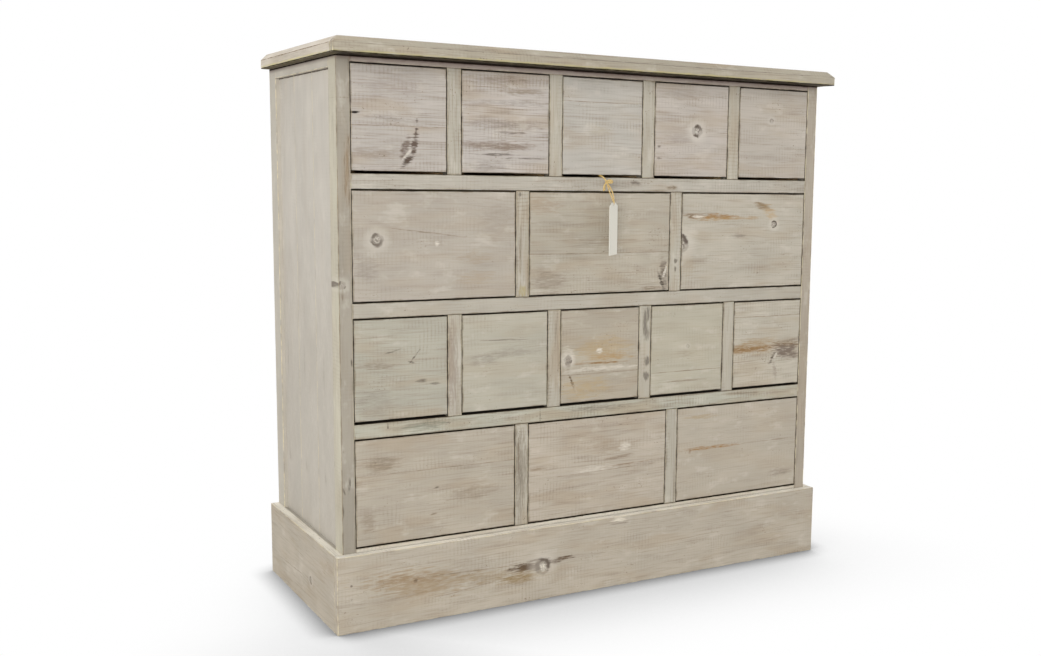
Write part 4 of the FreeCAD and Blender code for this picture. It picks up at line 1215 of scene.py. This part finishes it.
floor_data = bpy.data.meshes.new("floor")
floor_data.from_pydata([(-FLOOR_HALF, -FLOOR_HALF, 0), (FLOOR_HALF, -FLOOR_HALF, 0),
                        (FLOOR_HALF, FLOOR_HALF, 0), (-FLOOR_HALF, FLOOR_HALF, 0)], [], [(0, 1, 2, 3)])
floor = bpy.data.objects.new("floor", floor_data)
bpy.context.scene.collection.objects.link(floor)
white, floor_tree, floor_surface = new_material("white floor")
spot = add(floor_tree, "TexCoord", {}, output="Object")
spot_x = add(floor_tree, "SeparateXYZ", {"Vector": spot}, output="X")
spot_y = add(floor_tree, "SeparateXYZ", {"Vector": spot}, output="Y")
sideways = add(floor_tree, "Math", {0: spot_y, 1: ASIDE_BY_DEPTH, 2: LOOKS_ASIDE}, operation="MULTIPLY_ADD")
sideways = add(floor_tree, "Math", {0: spot_x, 1: sideways}, operation="MULTIPLY")
near_left = add(floor_tree, "Math", {0: spot_x, 1: spot_y}, operation="ADD")
near_left = add(floor_tree, "MapRange", {"Value": near_left, "From Min": CORNER_FULL, "From Max": CORNER_NONE,
                                         "To Min": CORNER_LOOKS_BACK, "To Max": LOOKS_BACK})
backwards = add(floor_tree, "Math", {0: spot_y, 1: BACK_BY_DEPTH, 2: near_left}, operation="MULTIPLY_ADD")
outward = add(floor_tree, "CombineXYZ", {"X": sideways, "Y": backwards, "Z": LOOKS_UP})
outward = add(floor_tree, "VectorMath", {0: outward}, operation="NORMALIZE")
print("floor of", 2 * FLOOR_HALF, "m")

# %% Shadow on the floor
BROAD_REACH, CONTACT_REACH = 0.46, 0.05
HALF_OPEN, ALL_OPEN = 0.5, 0.98
BROAD_DARKEST, CONTACT_DARKEST = 0.50, 0.45

broad = add(floor_tree, "AmbientOcclusion", {"Distance": BROAD_REACH, "Normal": outward}, output="AO",
            samples=16)
broad = add(floor_tree, "MapRange", {"Value": broad, "From Min": HALF_OPEN, "From Max": ALL_OPEN,
                                     "To Min": BROAD_DARKEST})
contact = add(floor_tree, "AmbientOcclusion", {"Distance": CONTACT_REACH}, output="AO", samples=16)
contact = add(floor_tree, "MapRange", {"Value": contact, "From Min": HALF_OPEN, "From Max": ALL_OPEN,
                                       "To Min": CONTACT_DARKEST})
shade = add(floor_tree, "Math", {0: broad, 1: contact}, operation="MULTIPLY")
seen = add(floor_tree, "LightPath", {}, output="Is Camera Ray")
shown = add(floor_tree, "Emission", {"Strength": shade})
floor_surface["Base Color"].default_value = linear("#E8E6E3")
floor_surface["Roughness"].default_value = 0.9
floor_surface["Specular IOR Level"].default_value = 0.0
lit = floor_tree.nodes["Principled BSDF"].outputs[0]
surface = add(floor_tree, "MixShader", {0: seen, 1: lit, 2: shown})
floor_tree.links.new(surface, floor_tree.nodes["Material Output"].inputs["Surface"])
floor_data.materials.append(white)
print("shadow reaches", round(BROAD_REACH / MM), "mm, its dark line", round(CONTACT_REACH / MM), "mm")

# %% [markdown]
# ## Room and lamps
# The room is plain white where the camera or a reflection sees it, and weaker as a light. A far lamp at
# the right is small for its distance, so it throws the tag's shadow to the left. A large, softer one
# lights the left side, which is the paler one, and the plinth from low down. Two weak ones, high in
# front and above the back, keep the fronts and the top from going grey.

# %% Room
FILL = 0.36

world = bpy.data.worlds.new("room")
bpy.context.scene.world = world
world.use_nodes = True
room = world.node_tree
camera_ray = add(room, "LightPath", {}, output="Is Camera Ray")
glossy_ray = add(room, "LightPath", {}, output="Is Glossy Ray")
shown_white = add(room, "Math", {0: camera_ray, 1: glossy_ray}, operation="MAXIMUM")
strength = add(room, "MapRange", {"Value": shown_white, "To Min": FILL, "To Max": 1.0})
background = room.nodes["Background"]
background.inputs["Color"].default_value = (1, 1, 1, 1)
room.links.new(strength, background.inputs["Strength"])
print("the room lights the chest at", FILL, "of what it shows")

# %% Lamps
LAMPS = {  # place and width in metres, watts
    "key, far right": ((7.65, -1.85, 1.9), 2.0, 300.0),
    "low front left": ((-5.0, -4.2, 1.4), 3.6, 300.0),
    "high front": ((-1.8, -2.6, 3.4), 2.0, 30.0),
    "above and behind": ((0.0, 1.2, 3.6), 2.0, 45.0),
}
LAMPS_AIM = Vector((0, 0, 0.5))
for name, (place, width, power) in LAMPS.items():
    lamp_data = bpy.data.lights.new(name, "AREA")
    lamp_data.size = width
    lamp_data.energy = power
    lamp = bpy.data.objects.new(name, lamp_data)
    lamp.location = place
    lamp.rotation_euler = (LAMPS_AIM - lamp.location).to_track_quat("-Z", "Y").to_euler()
    bpy.context.scene.collection.objects.link(lamp)
print(len(LAMPS), "lamps")
